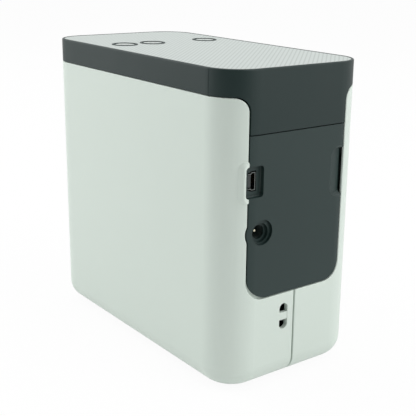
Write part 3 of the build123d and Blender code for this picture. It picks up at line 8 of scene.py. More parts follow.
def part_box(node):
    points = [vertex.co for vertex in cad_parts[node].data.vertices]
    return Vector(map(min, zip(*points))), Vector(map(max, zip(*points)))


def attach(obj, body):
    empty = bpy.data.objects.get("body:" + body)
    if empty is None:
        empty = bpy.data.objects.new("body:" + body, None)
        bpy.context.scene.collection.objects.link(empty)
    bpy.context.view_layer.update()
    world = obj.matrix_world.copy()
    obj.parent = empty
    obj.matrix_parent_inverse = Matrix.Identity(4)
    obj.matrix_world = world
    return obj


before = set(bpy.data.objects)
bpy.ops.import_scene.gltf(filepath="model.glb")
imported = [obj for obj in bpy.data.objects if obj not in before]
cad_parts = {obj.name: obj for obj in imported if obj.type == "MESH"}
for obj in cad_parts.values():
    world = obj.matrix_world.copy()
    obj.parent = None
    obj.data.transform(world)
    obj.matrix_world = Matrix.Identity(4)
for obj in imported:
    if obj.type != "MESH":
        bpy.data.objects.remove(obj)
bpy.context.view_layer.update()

# Casing halves: the fixed side and the cassette cover are two injection mouldings in off-white ABS.
# The mould is spark-eroded, which leaves a fine satin grain, and a thin seam runs between the halves.
MM = 0.001
CLOUD_MM = 28.0
CLOUD_DETAIL = 3.0
CLOUD_SHARE = 0.5
GRAIN_DETAIL = 2.0
GRAIN_BREAKUP = 0.6
NOISE_SPAN = (0.3, 0.7)
RELIEF_STRENGTH = 0.5
PLASTIC_IOR = 1.5


def linear(colour):
    """An sRGB hex colour as linear RGBA: each channel through the sRGB curve, alpha one."""
    channels = np.array([int(colour[at:at + 2], 16) for at in (1, 3, 5)]) / 255.0
    low = channels / 12.92
    high = ((channels + 0.055) / 1.055) ** 2.4
    return (*np.where(channels <= 0.04045, low, high).tolist(), 1.0)


def add(tree, kind, inputs, **settings):
    """Adds one shader node: settings are its properties, and inputs are values or links by socket."""
    made = tree.nodes.new(kind)
    for name, value in settings.items():
        setattr(made, name, value)
    for socket, value in inputs.items():
        if isinstance(value, bpy.types.NodeSocket):
            tree.links.new(value, made.inputs[socket])
        else:
            made.inputs[socket].default_value = value
    return made


def blank_material(name):
    """A new material with its Principled shader and the object's own coordinates in metres."""
    material = bpy.data.materials.new(name)
    material.use_nodes = True
    tree = material.node_tree
    shader = tree.nodes["Principled BSDF"]
    place = add(tree, "ShaderNodeTexCoord", {}).outputs["Object"]
    return material, tree, shader, place


def finish(tree, shader, pattern, colours, roughness, relief_mm):
    """Lets one pattern from 0 to 1 drive the colour, the gloss and a shallow relief. The gloss takes its
    whole change from the middle of the pattern, where most of a noise lies."""
    tint = add(tree, "ShaderNodeMix", {
        "Factor": pattern, "A": linear(colours[0]), "B": linear(colours[1])}, data_type="RGBA")
    tree.links.new(tint.outputs["Result"], shader.inputs["Base Color"])
    gloss = add(tree, "ShaderNodeMapRange", {
        "Value": pattern, "From Min": NOISE_SPAN[0], "From Max": NOISE_SPAN[1],
        "To Min": roughness[0], "To Max": roughness[1]})
    tree.links.new(gloss.outputs["Result"], shader.inputs["Roughness"])
    relief = add(tree, "ShaderNodeBump", {
        "Height": pattern, "Distance": relief_mm * MM, "Strength": RELIEF_STRENGTH})
    tree.links.new(relief.outputs["Normal"], shader.inputs["Normal"])


def moulded_plastic(name, colours, grain_mm, roughness, relief_mm, ior=PLASTIC_IOR):
    """A moulded plastic: the eroded grain of its mould, with a slow cloudy drift mixed into it."""
    material, tree, shader, place = blank_material(name)
    cloud = add(tree, "ShaderNodeTexNoise", {
        "Vector": place, "Scale": 1 / (CLOUD_MM * MM), "Detail": CLOUD_DETAIL})
    grain = add(tree, "ShaderNodeTexNoise", {
        "Vector": place, "Scale": 1 / (grain_mm * MM), "Detail": GRAIN_DETAIL, "Roughness": GRAIN_BREAKUP})
    both = add(tree, "ShaderNodeMix", {
        "Factor": CLOUD_SHARE, "A": grain.outputs["Fac"], "B": cloud.outputs["Fac"]}, data_type="FLOAT")
    finish(tree, shader, both.outputs["Result"], colours, roughness, relief_mm)
    shader.inputs["IOR"].default_value = ior
    return material


def dress(material, *nodes):
    """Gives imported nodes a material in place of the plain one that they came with."""
    for node in nodes:
        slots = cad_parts[node].data.materials
        slots.clear()
        slots.append(material)


# Off-white ABS has a slight cool green cast and a satin sheen with no sharp highlight. The grain is
# about 0.4 mm, drawn at 0.6 mm to show.
white_abs = moulded_plastic(
    "white_abs", ("#D3DFD6", "#D8E3DB"), grain_mm=0.6, roughness=(0.40, 0.52), relief_mm=0.012)
dress(white_abs, "right_shell", "cassette_cover")

# Top cover, rear panel, front panel and base plate: charcoal ABS from the same kind of mould.
# The cover clips down over both halves, and the panels are held behind the halves' edges.
CHARCOAL_IOR = 1.4
# Charcoal ABS reads as soft dark slate with a green cast, and its matt skin mirrors little. The grain
# is drawn at 0.5 mm to show.
charcoal_abs = moulded_plastic(
    "charcoal_abs", ("#20312F", "#243634"), grain_mm=0.5, roughness=(0.40, 0.52), relief_mm=0.010,
    ior=CHARCOAL_IOR)
dress(charcoal_abs, "rear_panel", "front_panel", "base_plate")
# The cover's batch is a shade deeper and duller, so the band stands off from the panel.
deep_charcoal_abs = moulded_plastic(
    "deep_charcoal_abs", ("#132725", "#172C2A"), grain_mm=0.5, roughness=(0.44, 0.56), relief_mm=0.010,
    ior=CHARCOAL_IOR)
dress(deep_charcoal_abs, "top_cover")

# Top plate: a light grey ABS sheet let into the cover, embossed with a fine diagonal diamond grid.
# The keys stand in three round holes near its front end.
GRID_PITCH_MM = 1.84
GRID_LINE_MM = 0.55
GRID_TURN = 45.0


def diamond_sheet():
    """Light grey ABS with embossed diamonds: each point's share of the pitch along both diagonals gives
    its distance from the nearest line. The lines are duller than the pads between, and their darker
    colour is painted shade in the embossed grooves."""
    material, tree, shader, place = blank_material("diamond_embossed_abs")
    turned = add(tree, "ShaderNodeMapping", {
        "Vector": place, "Rotation": (0.0, 0.0, math.radians(GRID_TURN)),
        "Scale": (1 / (GRID_PITCH_MM * MM),) * 3})
    part = add(tree, "ShaderNodeVectorMath", {0: turned.outputs["Vector"]}, operation="FRACTION")
    centred = add(tree, "ShaderNodeVectorMath", {
        0: part.outputs["Vector"], 1: (0.5, 0.5, 0.5)}, operation="SUBTRACT")
    away = add(tree, "ShaderNodeVectorMath", {0: centred.outputs["Vector"]}, operation="ABSOLUTE")
    axes = add(tree, "ShaderNodeSeparateXYZ", {"Vector": away.outputs["Vector"]})
    nearest = add(tree, "ShaderNodeMath", {0: axes.outputs["X"], 1: axes.outputs["Y"]}, operation="MAXIMUM")
    line = add(tree, "ShaderNodeMapRange", {
        "Value": nearest.outputs["Value"], "From Min": 0.5 - GRID_LINE_MM / GRID_PITCH_MM, "From Max": 0.5,
        "To Min": 0.0, "To Max": 1.0}, interpolation_type="SMOOTHSTEP")
    # The second, darker colour on the lines is painted shade in the grooves, not a different plastic.
    finish(
        tree, shader, line.outputs["Result"], ("#C2CAC7", "#AAB2AE"),
        roughness=(0.50, 0.58), relief_mm=0.03)
    return material


dress(diamond_sheet(), "top_inlay")

# Keys: three round caps moulded in light grey ABS, each with its stem down to a push switch.
# Each stands in a dark collar of the cover, and a plain sign is printed on its top.
SIGN_LINE_MM = 0.3
SIGN_LIFT_MM = 0.01
SIGN_INK_MM = 0.03
POWER_ARC_MM = 1.9
POWER_ARC_ENDS = (35.0, 325.0)
POWER_ARC_POINTS = 40

# The caps are a little smoother and darker than the plate, so they show as even grey discs.
key_abs = moulded_plastic(
    "key_abs", ("#B4BBB8", "#BAC1BE"), grain_mm=0.5, roughness=(0.36, 0.46), relief_mm=0.006)
dress(key_abs, "power_key", "launch_key", "feed_key")
# The switches' plungers are brown nylon with a waxy dull face.
switch_nylon = moulded_plastic(
    "switch_nylon", ("#3A2C22", "#4A382B"), grain_mm=0.4, roughness=(0.45, 0.6), relief_mm=0.006)
dress(switch_nylon, "power_plunger", "launch_plunger", "feed_plunger")


def corners_mm(node):
    """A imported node's lowest and highest corners, in millimetres."""
    return tuple(np.array(corner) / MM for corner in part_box(node))


def new_piece(name, points, faces):
    """A new object at the origin, from an array of points in metres and its faces."""
    mesh = bpy.data.meshes.new(name)
    mesh.from_pydata(points.tolist(), [], faces)
    piece = bpy.data.objects.new(name, mesh)
    bpy.context.scene.collection.objects.link(piece)
    return piece


def thicken(piece, name, thickness_mm):
    """Makes a sheet a closed body: a second skin, one thickness out along the normals, and its rim."""
    body = piece.modifiers.new(name, "SOLIDIFY")
    body.thickness = thickness_mm * MM
    body.offset = 1.0


def ribbons(name, runs, lift):
    """Flat printed lines: each run's centre line, given as arrays of X and Y, is pushed half a line's
    width to both sides along its own normal, and the two rims are joined by quads."""
    points, faces = [], []
    for run in runs:
        path = np.array(run, float)
        slope = np.gradient(path, axis=0)
        length = np.linalg.norm(slope, axis=1, keepdims=True)
        normal = np.stack((-slope[:, 1], slope[:, 0]), axis=1) / length
        rims = np.concatenate((path - normal * SIGN_LINE_MM / 2, path + normal * SIGN_LINE_MM / 2))
        count = len(path)
        at = np.arange(count - 1) + sum(len(done) for done in points)
        faces.append(np.stack((at, at + 1, at + count + 1, at + count), axis=1)[:, ::-1])
        points.append(np.column_stack((rims, np.full(2 * count, lift))))
    piece = new_piece(name, np.concatenate(points) * MM, np.concatenate(faces).tolist())
    thicken(piece, "ink", SIGN_INK_MM)
    return piece


def fit(piece, material, body):
    """Gives a new piece its material and its body."""
    piece.data.materials.append(material)
    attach(piece, body)


# Pad-printed ink lies flat and matt on the cap, a mid grey that shows only close up.
sign_ink = moulded_plastic(
    "pad_printed_ink", ("#7E8683", "#8A928F"), grain_mm=0.3, roughness=(0.5, 0.65), relief_mm=0.003)
sweep = np.radians(np.linspace(*POWER_ARC_ENDS, POWER_ARC_POINTS))
open_ring = POWER_ARC_MM * np.column_stack((np.sin(sweep), np.cos(sweep)))
# Each sign's strokes, in millimetres about the key's middle: an open ring with a bar, a screen on its
# foot, and an arrow along the tape.
for key, strokes in (
    ("power", [open_ring, [(0.0, 0.6), (0.0, 2.3)]]),
    ("launch", [[(-1.7, -1.3), (1.7, -1.3), (1.7, 1.3), (-1.7, 1.3), (-1.7, -1.3)],
                [(-0.9, -2.2), (0.9, -2.2)]]),
    ("feed", [[(-1.4, 0.2), (0.0, -1.6), (1.4, 0.2)], [(0.0, -1.2), (0.0, 2.2)]]),
):
    low, high = corners_mm(key + "_key")
    centre = (low[:2] + high[:2]) / 2
    sign = ribbons(key + "_sign", [np.array(run) + centre for run in strokes], high[2] + SIGN_LIFT_MM)
    fit(sign, sign_ink, key + "_button")

# Feet and screws: four rubber feet pressed into the base plate, and zinc-plated screws that hold the
# base, the boards and the casing to the frame. The screws are cold-headed and their threads are rolled.
SCORE_DETAIL = 3.0
SCORE_DEPTH_MM = 0.004

# Moulded rubber is near black and dull all over, with no highlight.
rubber = moulded_plastic(
    "moulded_rubber", ("#1B1C1C", "#242525"), grain_mm=0.8, roughness=(0.72, 0.88), relief_mm=0.02)
dress(rubber, "rubber_feet")


def worked_metal(name, colours, cell_mm, roughness):
    """A bare metal: a noise drawn out along the way it was worked, by cell sizes in millimetres along
    X, Y and Z, shifts the colour and the gloss and scores the surface."""
    material, tree, shader, place = blank_material(name)
    drawn = add(tree, "ShaderNodeMapping", {
        "Vector": place, "Scale": tuple(1 / (cell * MM) for cell in cell_mm)})
    score = add(tree, "ShaderNodeTexNoise", {
        "Vector": drawn.outputs["Vector"], "Scale": 1.0, "Detail": SCORE_DETAIL})
    finish(tree, shader, score.outputs["Fac"], colours, roughness, SCORE_DEPTH_MM)
    shader.inputs["Metallic"].default_value = 1.0
    return material


# Zinc plate is pale with a faint yellow cast and a fine crystal mottle.
zinc_plate = worked_metal(
    "zinc_plate", ("#A9A79C", "#C4C2B8"), cell_mm=(0.4, 0.4, 0.4), roughness=(0.3, 0.45))
dress(zinc_plate, "base_screws", "case_screws", "board_screws")

# Frame: one large moulding in dark grey ABS that carries the works, the boards and the lower hinge.
# Two ground steel pins carry the cover, and a bent spring-steel clip behind the rear panel holds it shut.

# The frame is never seen in use, so its mould is coarser and its grey flat and plain.
frame_abs = moulded_plastic(
    "frame_abs", ("#33383A", "#3B4042"), grain_mm=0.7, roughness=(0.5, 0.62), relief_mm=0.012)
dress(frame_abs, "chassis_frame")
# Ground steel is bright, with fine rings round each pin: one finish for pins along X, one for upright pins.
ground_steel = worked_metal(
    "ground_steel", ("#8F9294", "#B4B7B9"), cell_mm=(0.3, 4.0, 4.0), roughness=(0.2, 0.34))
upright_steel = worked_metal(
    "upright_ground_steel", ("#8F9294", "#B4B7B9"), cell_mm=(4.0, 4.0, 0.3), roughness=(0.2, 0.34))
dress(upright_steel, "hinge_pins")
# Spring steel is rolled and tempered, which leaves a dark straw tint and lines along the strip.
spring_steel = worked_metal(
    "tempered_spring_steel", ("#6E6A63", "#8B8780"), cell_mm=(9.0, 9.0, 0.35), roughness=(0.28, 0.42))
dress(spring_steel, "latch_clip")

# Circuit boards: glass-fibre boards under a green solder mask, one on edge beside the sockets and one
# under the keys, with their chips, plugs, capacitors and push switches soldered on.
TRACE_MM = 0.9
TRACE_CELL_MM = 14.0
TRACE_EDGE = (0.45, 0.55)
VIA_PITCH_MM = 7.0
VIA_RADIUS_MM = 0.4


def masked_board():
    """Solder mask over copper: nested square rings about scattered points stand for the tracks, lighter
    and raised, and small bright dots stand for the plated holes."""
    material, tree, shader, place = blank_material("solder_masked_board")
    cells = add(tree, "ShaderNodeTexVoronoi", {
        "Vector": place, "Scale": 1 / (TRACE_CELL_MM * MM)}, distance="CHEBYCHEV")
    rings = add(tree, "ShaderNodeMath", {
        0: cells.outputs["Distance"], 1: TRACE_CELL_MM / TRACE_MM}, operation="MULTIPLY")
    wave = add(tree, "ShaderNodeMath", {0: rings.outputs["Value"], 1: 1.0}, operation="PINGPONG")
    track = add(tree, "ShaderNodeMapRange", {
        "Value": wave.outputs["Value"], "From Min": TRACE_EDGE[0], "From Max": TRACE_EDGE[1]},
        interpolation_type="SMOOTHSTEP")
    finish(
        tree, shader, track.outputs["Result"], ("#0E4A25", "#1B6636"),
        roughness=(0.24, 0.32), relief_mm=0.03)
    dots = add(tree, "ShaderNodeTexVoronoi", {"Vector": place, "Scale": 1 / (VIA_PITCH_MM * MM)})
    plated = add(tree, "ShaderNodeMath", {
        0: dots.outputs["Distance"], 1: VIA_RADIUS_MM / VIA_PITCH_MM}, operation="LESS_THAN")
    masked = shader.inputs["Base Color"].links[0].from_socket
    shown = add(tree, "ShaderNodeMix", {
        "Factor": plated.outputs["Value"], "A": masked, "B": linear("#C9B26A")}, data_type="RGBA")
    tree.links.new(shown.outputs["Result"], shader.inputs["Base Color"])
    tree.links.new(plated.outputs["Value"], shader.inputs["Metallic"])
    return material


dress(masked_board(), "key_board", "main_board")
# Epoxy mouldings are black and matt from their filler, and the switches' housings a little glossier.
epoxy = moulded_plastic(
    "epoxy_moulding", ("#171819", "#202122"), grain_mm=0.3, roughness=(0.55, 0.7), relief_mm=0.006)
dress(epoxy, "board_chips")
switch_housing = moulded_plastic(
    "switch_housing", ("#1A1B1C", "#26282A"), grain_mm=0.4, roughness=(0.4, 0.55), relief_mm=0.006)
dress(switch_housing, "key_switches")
# Natural nylon is cream and slightly waxy.
natural_nylon = moulded_plastic(
    "natural_nylon", ("#D9D3BF", "#E3DDCB"), grain_mm=0.5, roughness=(0.42, 0.55), relief_mm=0.006)
dress(natural_nylon, "board_connectors")
# The capacitor cans are drawn from aluminium sheet and show the draw lines along their length.
drawn_cans = worked_metal(
    "drawn_aluminium", ("#B7BABC", "#D2D4D6"), cell_mm=(6.0, 0.3, 0.3), roughness=(0.3, 0.42))
dress(drawn_cans, "board_capacitors")

# Sockets: a mini USB shell bent from nickel-plated steel round a black contact tongue, and a moulded
# power socket with a turned pin. Five gilt contacts lie along the tongue's inner face.
CONTACTS = 5
CONTACT_PITCH_MM = 0.8
CONTACT_WIDTH_MM = 0.4
CONTACT_LENGTH_MM = 4.0
CONTACT_RISE_MM = 0.12
CONTACT_STRIP_MM = 0.1
CONTACT_SETBACK_MM = 0.3
CONTACT_CLEAR_MM = 0.02
CONTACT_POINTS = 16
# The tongue's inner face along X is stated, because the tongue's box takes in its wider root.
TONGUE_FACE_MM = 24.5

# Nickel plate is a warm mid grey that mirrors the pocket round it.
nickel_plate = worked_metal(
    "nickel_plate", ("#6E7371", "#868B89"), cell_mm=(0.8, 0.8, 0.8), roughness=(0.22, 0.34))
dress(nickel_plate, "usb_socket")
# The tongue's polymer and the power socket's polyester are dark and satin, so their mouths stay dark.
contact_polymer = moulded_plastic(
    "contact_polymer", ("#2A3030", "#363C3C"), grain_mm=0.3, roughness=(0.45, 0.58), relief_mm=0.004)
dress(contact_polymer, "usb_tongue")
socket_polyester = moulded_plastic(
    "socket_polyester", ("#3E4846", "#4A5452"), grain_mm=0.4, roughness=(0.42, 0.55), relief_mm=0.006)
dress(socket_polyester, "dc_jack")
# The pin is turned from pale plated brass, and its tip is the one bright spot in the socket.
turned_brass = worked_metal(
    "turned_brass_pin", ("#DCD6B8", "#F0EBD2"), cell_mm=(3.0, 0.2, 3.0), roughness=(0.2, 0.32))
dress(turned_brass, "dc_pin")


def contact_row():
    """Five sprung strips: along each the rise is a half sine wave off the tongue's face, and across
    it the strip is flat."""
    low, high = corners_mm("usb_tongue")
    along = np.linspace(0.0, 1.0, CONTACT_POINTS)
    across = np.array((-0.5, 0.5))
    order = np.arange(CONTACTS) - CONTACTS // 2
    row, share, edge = np.meshgrid(order, along, across, indexing="ij")
    x = TONGUE_FACE_MM - CONTACT_CLEAR_MM - CONTACT_RISE_MM * np.sin(np.pi * share)
    y = high[1] - CONTACT_SETBACK_MM - CONTACT_LENGTH_MM * share
    z = (low[2] + high[2]) / 2 + row * CONTACT_PITCH_MM + edge * CONTACT_WIDTH_MM
    points = np.stack((x, y, z), axis=-1).reshape(-1, 3) * MM
    strip = np.arange(CONTACTS)[:, None] * 2 * CONTACT_POINTS
    start = (strip + np.arange(CONTACT_POINTS - 1)[None, :] * 2).ravel()
    faces = np.stack((start, start + 2, start + 3, start + 1), axis=1)
    piece = new_piece("usb_contacts", points, faces.tolist())
    thicken(piece, "strip", CONTACT_STRIP_MM)
    return piece


# Gilt contacts are rolled strip, a clear yellow that glints along each spring.
gilt = worked_metal("gilt_contact", ("#C9A04C", "#E3BE6B"), cell_mm=(2.0, 2.0, 0.15), roughness=(0.2, 0.3))
fit(contact_row(), gilt, "casing")

# Feed works: moulded acetal gears between the frame and a steel plate, driven by a small motor with a
# brass pinion. The motor's can is drawn steel, and the plate is stamped from galvanised sheet.
SPANGLE_MM = 3.5

# Natural acetal is ivory with a smooth greasy sheen.
acetal = moulded_plastic(
    "natural_acetal", ("#DAD6C8", "#E4E0D3"), grain_mm=0.6, roughness=(0.34, 0.46), relief_mm=0.006)
dress(acetal, "drive_gear", "ribbon_shaft")
dress(ground_steel, "drive_axle")
# Hobbed brass is a soft yellow, scored across each tooth.
hobbed_brass = worked_metal(
    "hobbed_brass", ("#A98A45", "#C9A95E"), cell_mm=(2.0, 0.25, 0.25), roughness=(0.25, 0.38))
dress(hobbed_brass, "motor_pinion", "cutter_pinion")
# Drawn steel cans are grey with streaks along the draw.
can_steel = worked_metal(
    "drawn_steel_can", ("#7C8082", "#9A9EA0"), cell_mm=(5.0, 0.5, 0.5), roughness=(0.3, 0.42))
dress(can_steel, "feed_motor")


def galvanised_sheet():
    """Galvanised steel: each crystal of the spangle, a few millimetres across, has its own grey."""
    material, tree, shader, place = blank_material("galvanised_sheet")
    spangle = add(tree, "ShaderNodeTexVoronoi", {"Vector": place, "Scale": 1 / (SPANGLE_MM * MM)})
    shade = add(tree, "ShaderNodeSeparateColor", {"Color": spangle.outputs["Color"]})
    finish(
        tree, shader, shade.outputs["Red"], ("#8C9193", "#B9BDBE"),
        roughness=(0.34, 0.5), relief_mm=0.004)
    shader.inputs["Metallic"].default_value = 1.0
    return material


galvanised = galvanised_sheet()
dress(galvanised, "motor_bracket")

# Cassette: two grey half shells that snap together round the tape roll, the two ribbon spools and a
# tape roller. A bare paper label covers part of the lid.
# A wave texture of scale one repeats after this length.
WAVE_PERIOD = math.pi / 10
WIND_WANDER = 0.6
WIND_DETAIL = 2.0
WIND_RIDGE_MM = 0.02
TAPE_TURNS_MM = 0.9
RIBBON_TURNS_MM = 0.5
LABEL_MM = ((-8.0, 37.0), (58.0, 90.0))
LABEL_POWER = 8.0
LABEL_POINTS = 96
LABEL_LIFT_MM = 0.01
LABEL_PAPER_MM = 0.1

# Moulded styrene is a plain mid grey, glossier than the casing.
styrene = moulded_plastic(
    "cassette_styrene", ("#9A9EA1", "#A8ACAE"), grain_mm=0.8, roughness=(0.34, 0.46), relief_mm=0.008)
dress(styrene, "cassette_case", "cassette_lid")
dress(rubber, "cassette_roller")


def wound_film(name, colours, node, turns_mm, roughness):
    """Film wound on a core: rings about the spool's axis run from one shade to the other and raise fine
    ridges on the roll's ends. A single turn is too fine to show, so each ring stands for several."""
    material, tree, shader, place = blank_material(name)
    low, high = corners_mm(node)
    middle = tuple(((low + high) / 2 * MM).tolist())
    hub = add(tree, "ShaderNodeVectorMath", {0: place, 1: middle}, operation="SUBTRACT")
    rings = add(tree, "ShaderNodeTexWave", {
        "Vector": hub.outputs["Vector"], "Scale": WAVE_PERIOD / (turns_mm * MM),
        "Distortion": WIND_WANDER, "Detail": WIND_DETAIL}, wave_type="RINGS", rings_direction="X")
    finish(tree, shader, rings.outputs["Fac"], colours, roughness, WIND_RIDGE_MM)
    return material


# Label tape winds up to a white roll with faint grey rings, and ribbon to a glossy black one.
for name, colours, node, turns_mm, roughness in (
    ("wound_label_tape", ("#D8D8D2", "#EDEDE8"), "tape_roll", TAPE_TURNS_MM, (0.3, 0.42)),
    ("wound_ribbon", ("#141416", "#242428"), "supply_spool", RIBBON_TURNS_MM, (0.22, 0.34)),
    ("wound_used_ribbon", ("#141416", "#242428"), "takeup_spool", RIBBON_TURNS_MM, (0.22, 0.34)),
):
    dress(wound_film(name, colours, node, turns_mm, roughness), node)
# The free tape is laminated film: white, nearly smooth and the glossiest thing in the bay.
tape_film = moulded_plastic(
    "laminated_film", ("#E6E6E1", "#EEEEEA"), grain_mm=1.2, roughness=(0.22, 0.3), relief_mm=0.003)
dress(tape_film, "label_tape")


def paper_label():
    """A label's outline is a superellipse: the cosine and the sine of the angle, each drawn towards its
    corner by a power, between the label's ends along Y and Z. It is one flat fan, and Solidify makes
    the paper's thickness."""
    lid_face = corners_mm("cassette_lid")[0][0]
    angle = np.radians(np.linspace(0.0, 360.0, LABEL_POINTS, endpoint=False))
    spread = np.stack((np.cos(angle), np.sin(angle)), axis=1)
    spread = np.sign(spread) * np.abs(spread) ** (2 / LABEL_POWER)
    ends = np.array(LABEL_MM)
    rim = ends.mean(axis=1) + spread * (ends[:, 1] - ends[:, 0]) / 2
    points = np.column_stack((np.full(LABEL_POINTS, lid_face - LABEL_LIFT_MM), rim)) * MM
    piece = new_piece("cassette_label", points, [list(range(LABEL_POINTS))[::-1]])
    thicken(piece, "paper", LABEL_PAPER_MM)
    return piece


# Uncoated paper is cream white and quite dull.
label_paper = moulded_plastic(
    "label_paper", ("#E2E0D6", "#ECEAE1"), grain_mm=0.4, roughness=(0.6, 0.75), relief_mm=0.01)
fit(paper_label(), label_paper, "casing")

# Roller lever: a glass-filled nylon lever on a steel pin, with two steel rollers in rubber sleeves.
# The sleeves are ground round, and the rollers' gears are moulded on to their ends.

# Glass-filled nylon is black with a grey bloom where the fibres come to the skin.
filled_nylon = moulded_plastic(
    "glass_filled_nylon", ("#1C1E20", "#2A2D2F"), grain_mm=0.5, roughness=(0.5, 0.66), relief_mm=0.012)
dress(filled_nylon, "roller_holder")
dress(ground_steel, "holder_pin", "platen_roller", "pinch_roller")
# Ground rubber is a shade lighter than moulded rubber, and velvety.
sleeve_rubber = moulded_plastic(
    "ground_rubber", ("#26282A", "#303335"), grain_mm=0.5, roughness=(0.66, 0.8), relief_mm=0.012)
dress(sleeve_rubber, "platen_sleeve", "pinch_sleeve")

# Print head: a glazed ceramic strip with one fine row of heaters, on an extruded aluminium bar.
# The bar's foot is screwed to the frame's wall.
HEATER_ROW_MM = 0.9
HEATER_EDGE = (0.4, 0.6)


def glazed_ceramic():
    """Glazed alumina: a cream ground, with one dark glassy line along the middle of the strip, drawn by
    the distance from that middle along Y."""
    material, tree, shader, place = blank_material("glazed_ceramic")
    low, high = corners_mm("print_head")
    axes = add(tree, "ShaderNodeSeparateXYZ", {"Vector": place})
    off = add(tree, "ShaderNodeMath", {
        0: axes.outputs["Y"], 1: float(low[1] + high[1]) / 2 * MM}, operation="SUBTRACT")
    away = add(tree, "ShaderNodeMath", {0: off.outputs["Value"]}, operation="ABSOLUTE")
    line = add(tree, "ShaderNodeMapRange", {
        "Value": away.outputs["Value"], "From Min": HEATER_EDGE[0] * HEATER_ROW_MM * MM,
        "From Max": HEATER_EDGE[1] * HEATER_ROW_MM * MM, "To Min": 1.0, "To Max": 0.0},
        interpolation_type="SMOOTHSTEP")
    finish(
        tree, shader, line.outputs["Result"], ("#CFC7B2", "#3A332C"),
        roughness=(0.2, 0.1), relief_mm=0.02)
    return material


dress(glazed_ceramic(), "print_head")
# Extruded aluminium is pale, with die lines along the bar.
extruded_bar = worked_metal(
    "extruded_aluminium", ("#AEB2B4", "#C9CCCE"), cell_mm=(9.0, 0.35, 0.35), roughness=(0.3, 0.44))
dress(extruded_bar, "head_bracket")

# Cutter: a stamped plate across the tape's way, a ground fixed blade, and a swinging blade that a crank
# gear and a small motor drive.
dress(galvanised, "cutter_frame")
# Blades are ground across their edge, so they glint in fine upright lines.
blade_steel = worked_metal(
    "ground_blade_steel", ("#8C9092", "#BCC0C2"), cell_mm=(0.25, 3.0, 5.0), roughness=(0.16, 0.28))
dress(blade_steel, "fixed_blade", "cutter_lever")
dress(acetal, "cutter_crank")
# The pins are turned and the motor's can is drawn, and both show their lines about or along Y.
turned_steel = worked_metal(
    "turned_steel", ("#8F9294", "#B4B7B9"), cell_mm=(4.0, 0.3, 4.0), roughness=(0.2, 0.34))
dress(turned_steel, "cutter_pins")
small_can = worked_metal(
    "small_motor_can", ("#7C8082", "#9A9EA0"), cell_mm=(0.5, 5.0, 0.5), roughness=(0.3, 0.42))
dress(small_can, "cutter_motor")

# Floor and card: a plain pale paper floor, which shows white to the camera and in reflections and still
# takes the printer's shadow. One dim card stands where the light tent is open, beside the camera.
FLOOR_HALF_M = 4.0
FLOOR_GLOW = 0.94
CARD_TURN = 45.0
CARD_AWAY_M = 0.75
CARD_WIDTH_M = 1.8
CARD_HEIGHT_M = 0.8


def flat_sheet(name, corner, along, across):
    """A flat quad: the corner plus each share of the two edge vectors on a two by two grid."""
    s, t = np.meshgrid([0.0, 1.0], [0.0, 1.0])
    points = np.array(corner) + s[..., None] * np.array(along) + t[..., None] * np.array(across)
    sheet = new_piece(name, points.reshape(-1, 3), [(0, 1, 3, 2)])
    return sheet


def background_rays(tree):
    """One for a ray that shows the background: straight to the camera, mirrored or through glass."""
    ray = add(tree, "ShaderNodeLightPath", {})
    mirrored = add(tree, "ShaderNodeMath", {
        0: ray.outputs["Is Glossy Ray"], 1: ray.outputs["Is Transmission Ray"]}, operation="MAXIMUM")
    shown = add(tree, "ShaderNodeMath", {
        0: ray.outputs["Is Camera Ray"], 1: mirrored.outputs["Value"]}, operation="MAXIMUM")
    return shown.outputs["Value"]


floor_size = 2 * FLOOR_HALF_M
floor = flat_sheet(
    "studio_floor", (-FLOOR_HALF_M, -FLOOR_HALF_M, 0.0), (floor_size, 0.0, 0.0), (0.0, floor_size, 0.0))
# Floor paper is a matt white that glows a little, so that it meets the white backdrop without an edge.
paper = bpy.data.materials.new("floor_paper")
paper.use_nodes = True
tree = paper.node_tree
tree.nodes.clear()
matt = add(tree, "ShaderNodeBsdfDiffuse", {"Color": linear("#F2F2F2")})
glow = add(tree, "ShaderNodeEmission", {"Color": linear("#FFFFFF"), "Strength": 1.0})
seen = add(tree, "ShaderNodeMath", {0: background_rays(tree), 1: FLOOR_GLOW}, operation="MULTIPLY")
both = add(tree, "ShaderNodeMixShader", {
    0: seen.outputs["Value"], 1: matt.outputs["BSDF"], 2: glow.outputs["Emission"]})
add(tree, "ShaderNodeOutputMaterial", {"Surface": both.outputs["Shader"]})
floor.data.materials.append(paper)

# Card grey is quite dull, so it only takes light away from the side that it faces.
card_grey = bpy.data.materials.new("card_grey")
card_grey.use_nodes = True
card_shader = card_grey.node_tree.nodes["Principled BSDF"]
card_shader.inputs["Base Color"].default_value = linear("#707070")
card_shader.inputs["Roughness"].default_value = 1.0
card_turn = math.radians(CARD_TURN)
card_middle = CARD_AWAY_M * np.array((math.cos(card_turn), math.sin(card_turn), 0.0))
card_width = CARD_WIDTH_M * np.array((-math.sin(card_turn), math.cos(card_turn), 0.0))
card = flat_sheet("card_near", card_middle - card_width / 2, card_width, (0.0, 0.0, CARD_HEIGHT_M))
card.visible_camera = False
card.data.materials.append(card_grey)

# Light tent: white cloth all round, which lights the printer evenly, with three large lamps behind it.
# One lamp stands at the side, one behind the rear panel's far edge and one overhead.
TENT_GLOW = 0.7
LAMP_SIZE_M = 1.1
LAMP_AIM_M = (0.0, 0.0, 0.07)

world = bpy.data.worlds.new("light_tent")
bpy.context.scene.world = world
world.use_nodes = True
tree = world.node_tree
tree.nodes.clear()
strength = add(tree, "ShaderNodeMapRange", {
    "Value": background_rays(tree), "To Min": TENT_GLOW, "To Max": 1.0})
cloth = add(tree, "ShaderNodeBackground", {
    "Color": linear("#FFFFFF"), "Strength": strength.outputs["Result"]})
add(tree, "ShaderNodeOutputWorld", {"Surface": cloth.outputs["Background"]})

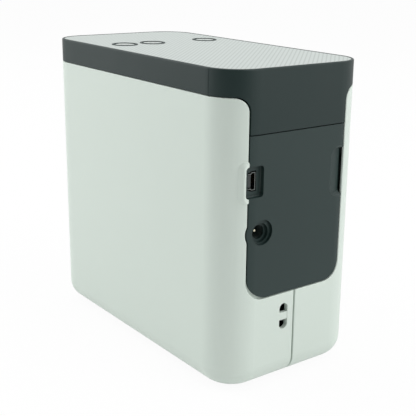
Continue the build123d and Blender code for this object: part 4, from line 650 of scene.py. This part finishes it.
# Each lamp's name, its place in metres and its power in watts.
for name, place, power in (
    ("tent_side", (0.70, -0.83, 0.60), 5.9),
    ("tent_rear", (-0.55, 0.90, 0.60), 5.5),
    ("tent_top", (0.0, 0.0, 1.25), 4.0),
):
    lamp = bpy.data.lights.new(name, "AREA")
    lamp.energy = power
    lamp.size = LAMP_SIZE_M
    holder = bpy.data.objects.new(name, lamp)
    holder.location = place
    holder.rotation_euler = (Vector(LAMP_AIM_M) - Vector(place)).to_track_quat("-Z", "Y").to_euler()
    bpy.context.scene.collection.objects.link(holder)

# Camera: it looks at the rear and the fixed side from a little above, as in the photograph. Its place,
# turn, roll, focal length and centre were fitted together to the printer's outline and seams.
CAMERA_TURN = 141.98
CAMERA_RISE = 16.467
CAMERA_ROLL = 1.035
CAMERA_DISTANCE_MM = 451.489
CAMERA_TARGET_MM = (-22.63, 0.0, 61.108)
FOCAL_PIXELS = 862.507
CENTRE_PIXELS = (231.353, 202.629)
FRAME_PIXELS = 416.0
SENSOR_MM = 36.0
NEAREST_M = 0.01

turn = math.radians(CAMERA_TURN)
rise = math.radians(CAMERA_RISE)
roll = math.radians(CAMERA_ROLL)
back = np.array((math.sin(turn) * math.cos(rise), -math.cos(turn) * math.cos(rise), math.sin(rise)))
side = np.array((math.cos(turn), math.sin(turn), 0.0))
over = np.cross(back, side)
facing = np.eye(4)
facing[:3, 0] = side * math.cos(roll) + over * math.sin(roll)
facing[:3, 1] = over * math.cos(roll) - side * math.sin(roll)
facing[:3, 2] = back
facing[:3, 3] = (np.array(CAMERA_TARGET_MM) + back * CAMERA_DISTANCE_MM) * MM
lens = bpy.data.cameras.new("studio_camera")
lens.sensor_width = SENSOR_MM
lens.lens = FOCAL_PIXELS / FRAME_PIXELS * SENSOR_MM
lens.shift_x = (FRAME_PIXELS / 2 - CENTRE_PIXELS[0]) / FRAME_PIXELS
lens.shift_y = (CENTRE_PIXELS[1] - FRAME_PIXELS / 2) / FRAME_PIXELS
lens.clip_start = NEAREST_M
camera = bpy.data.objects.new("studio_camera", lens)
camera.matrix_world = Matrix(facing.tolist())
bpy.context.scene.collection.objects.link(camera)
bpy.context.scene.camera = camera
bpy.context.scene.view_settings.view_transform = "Standard"
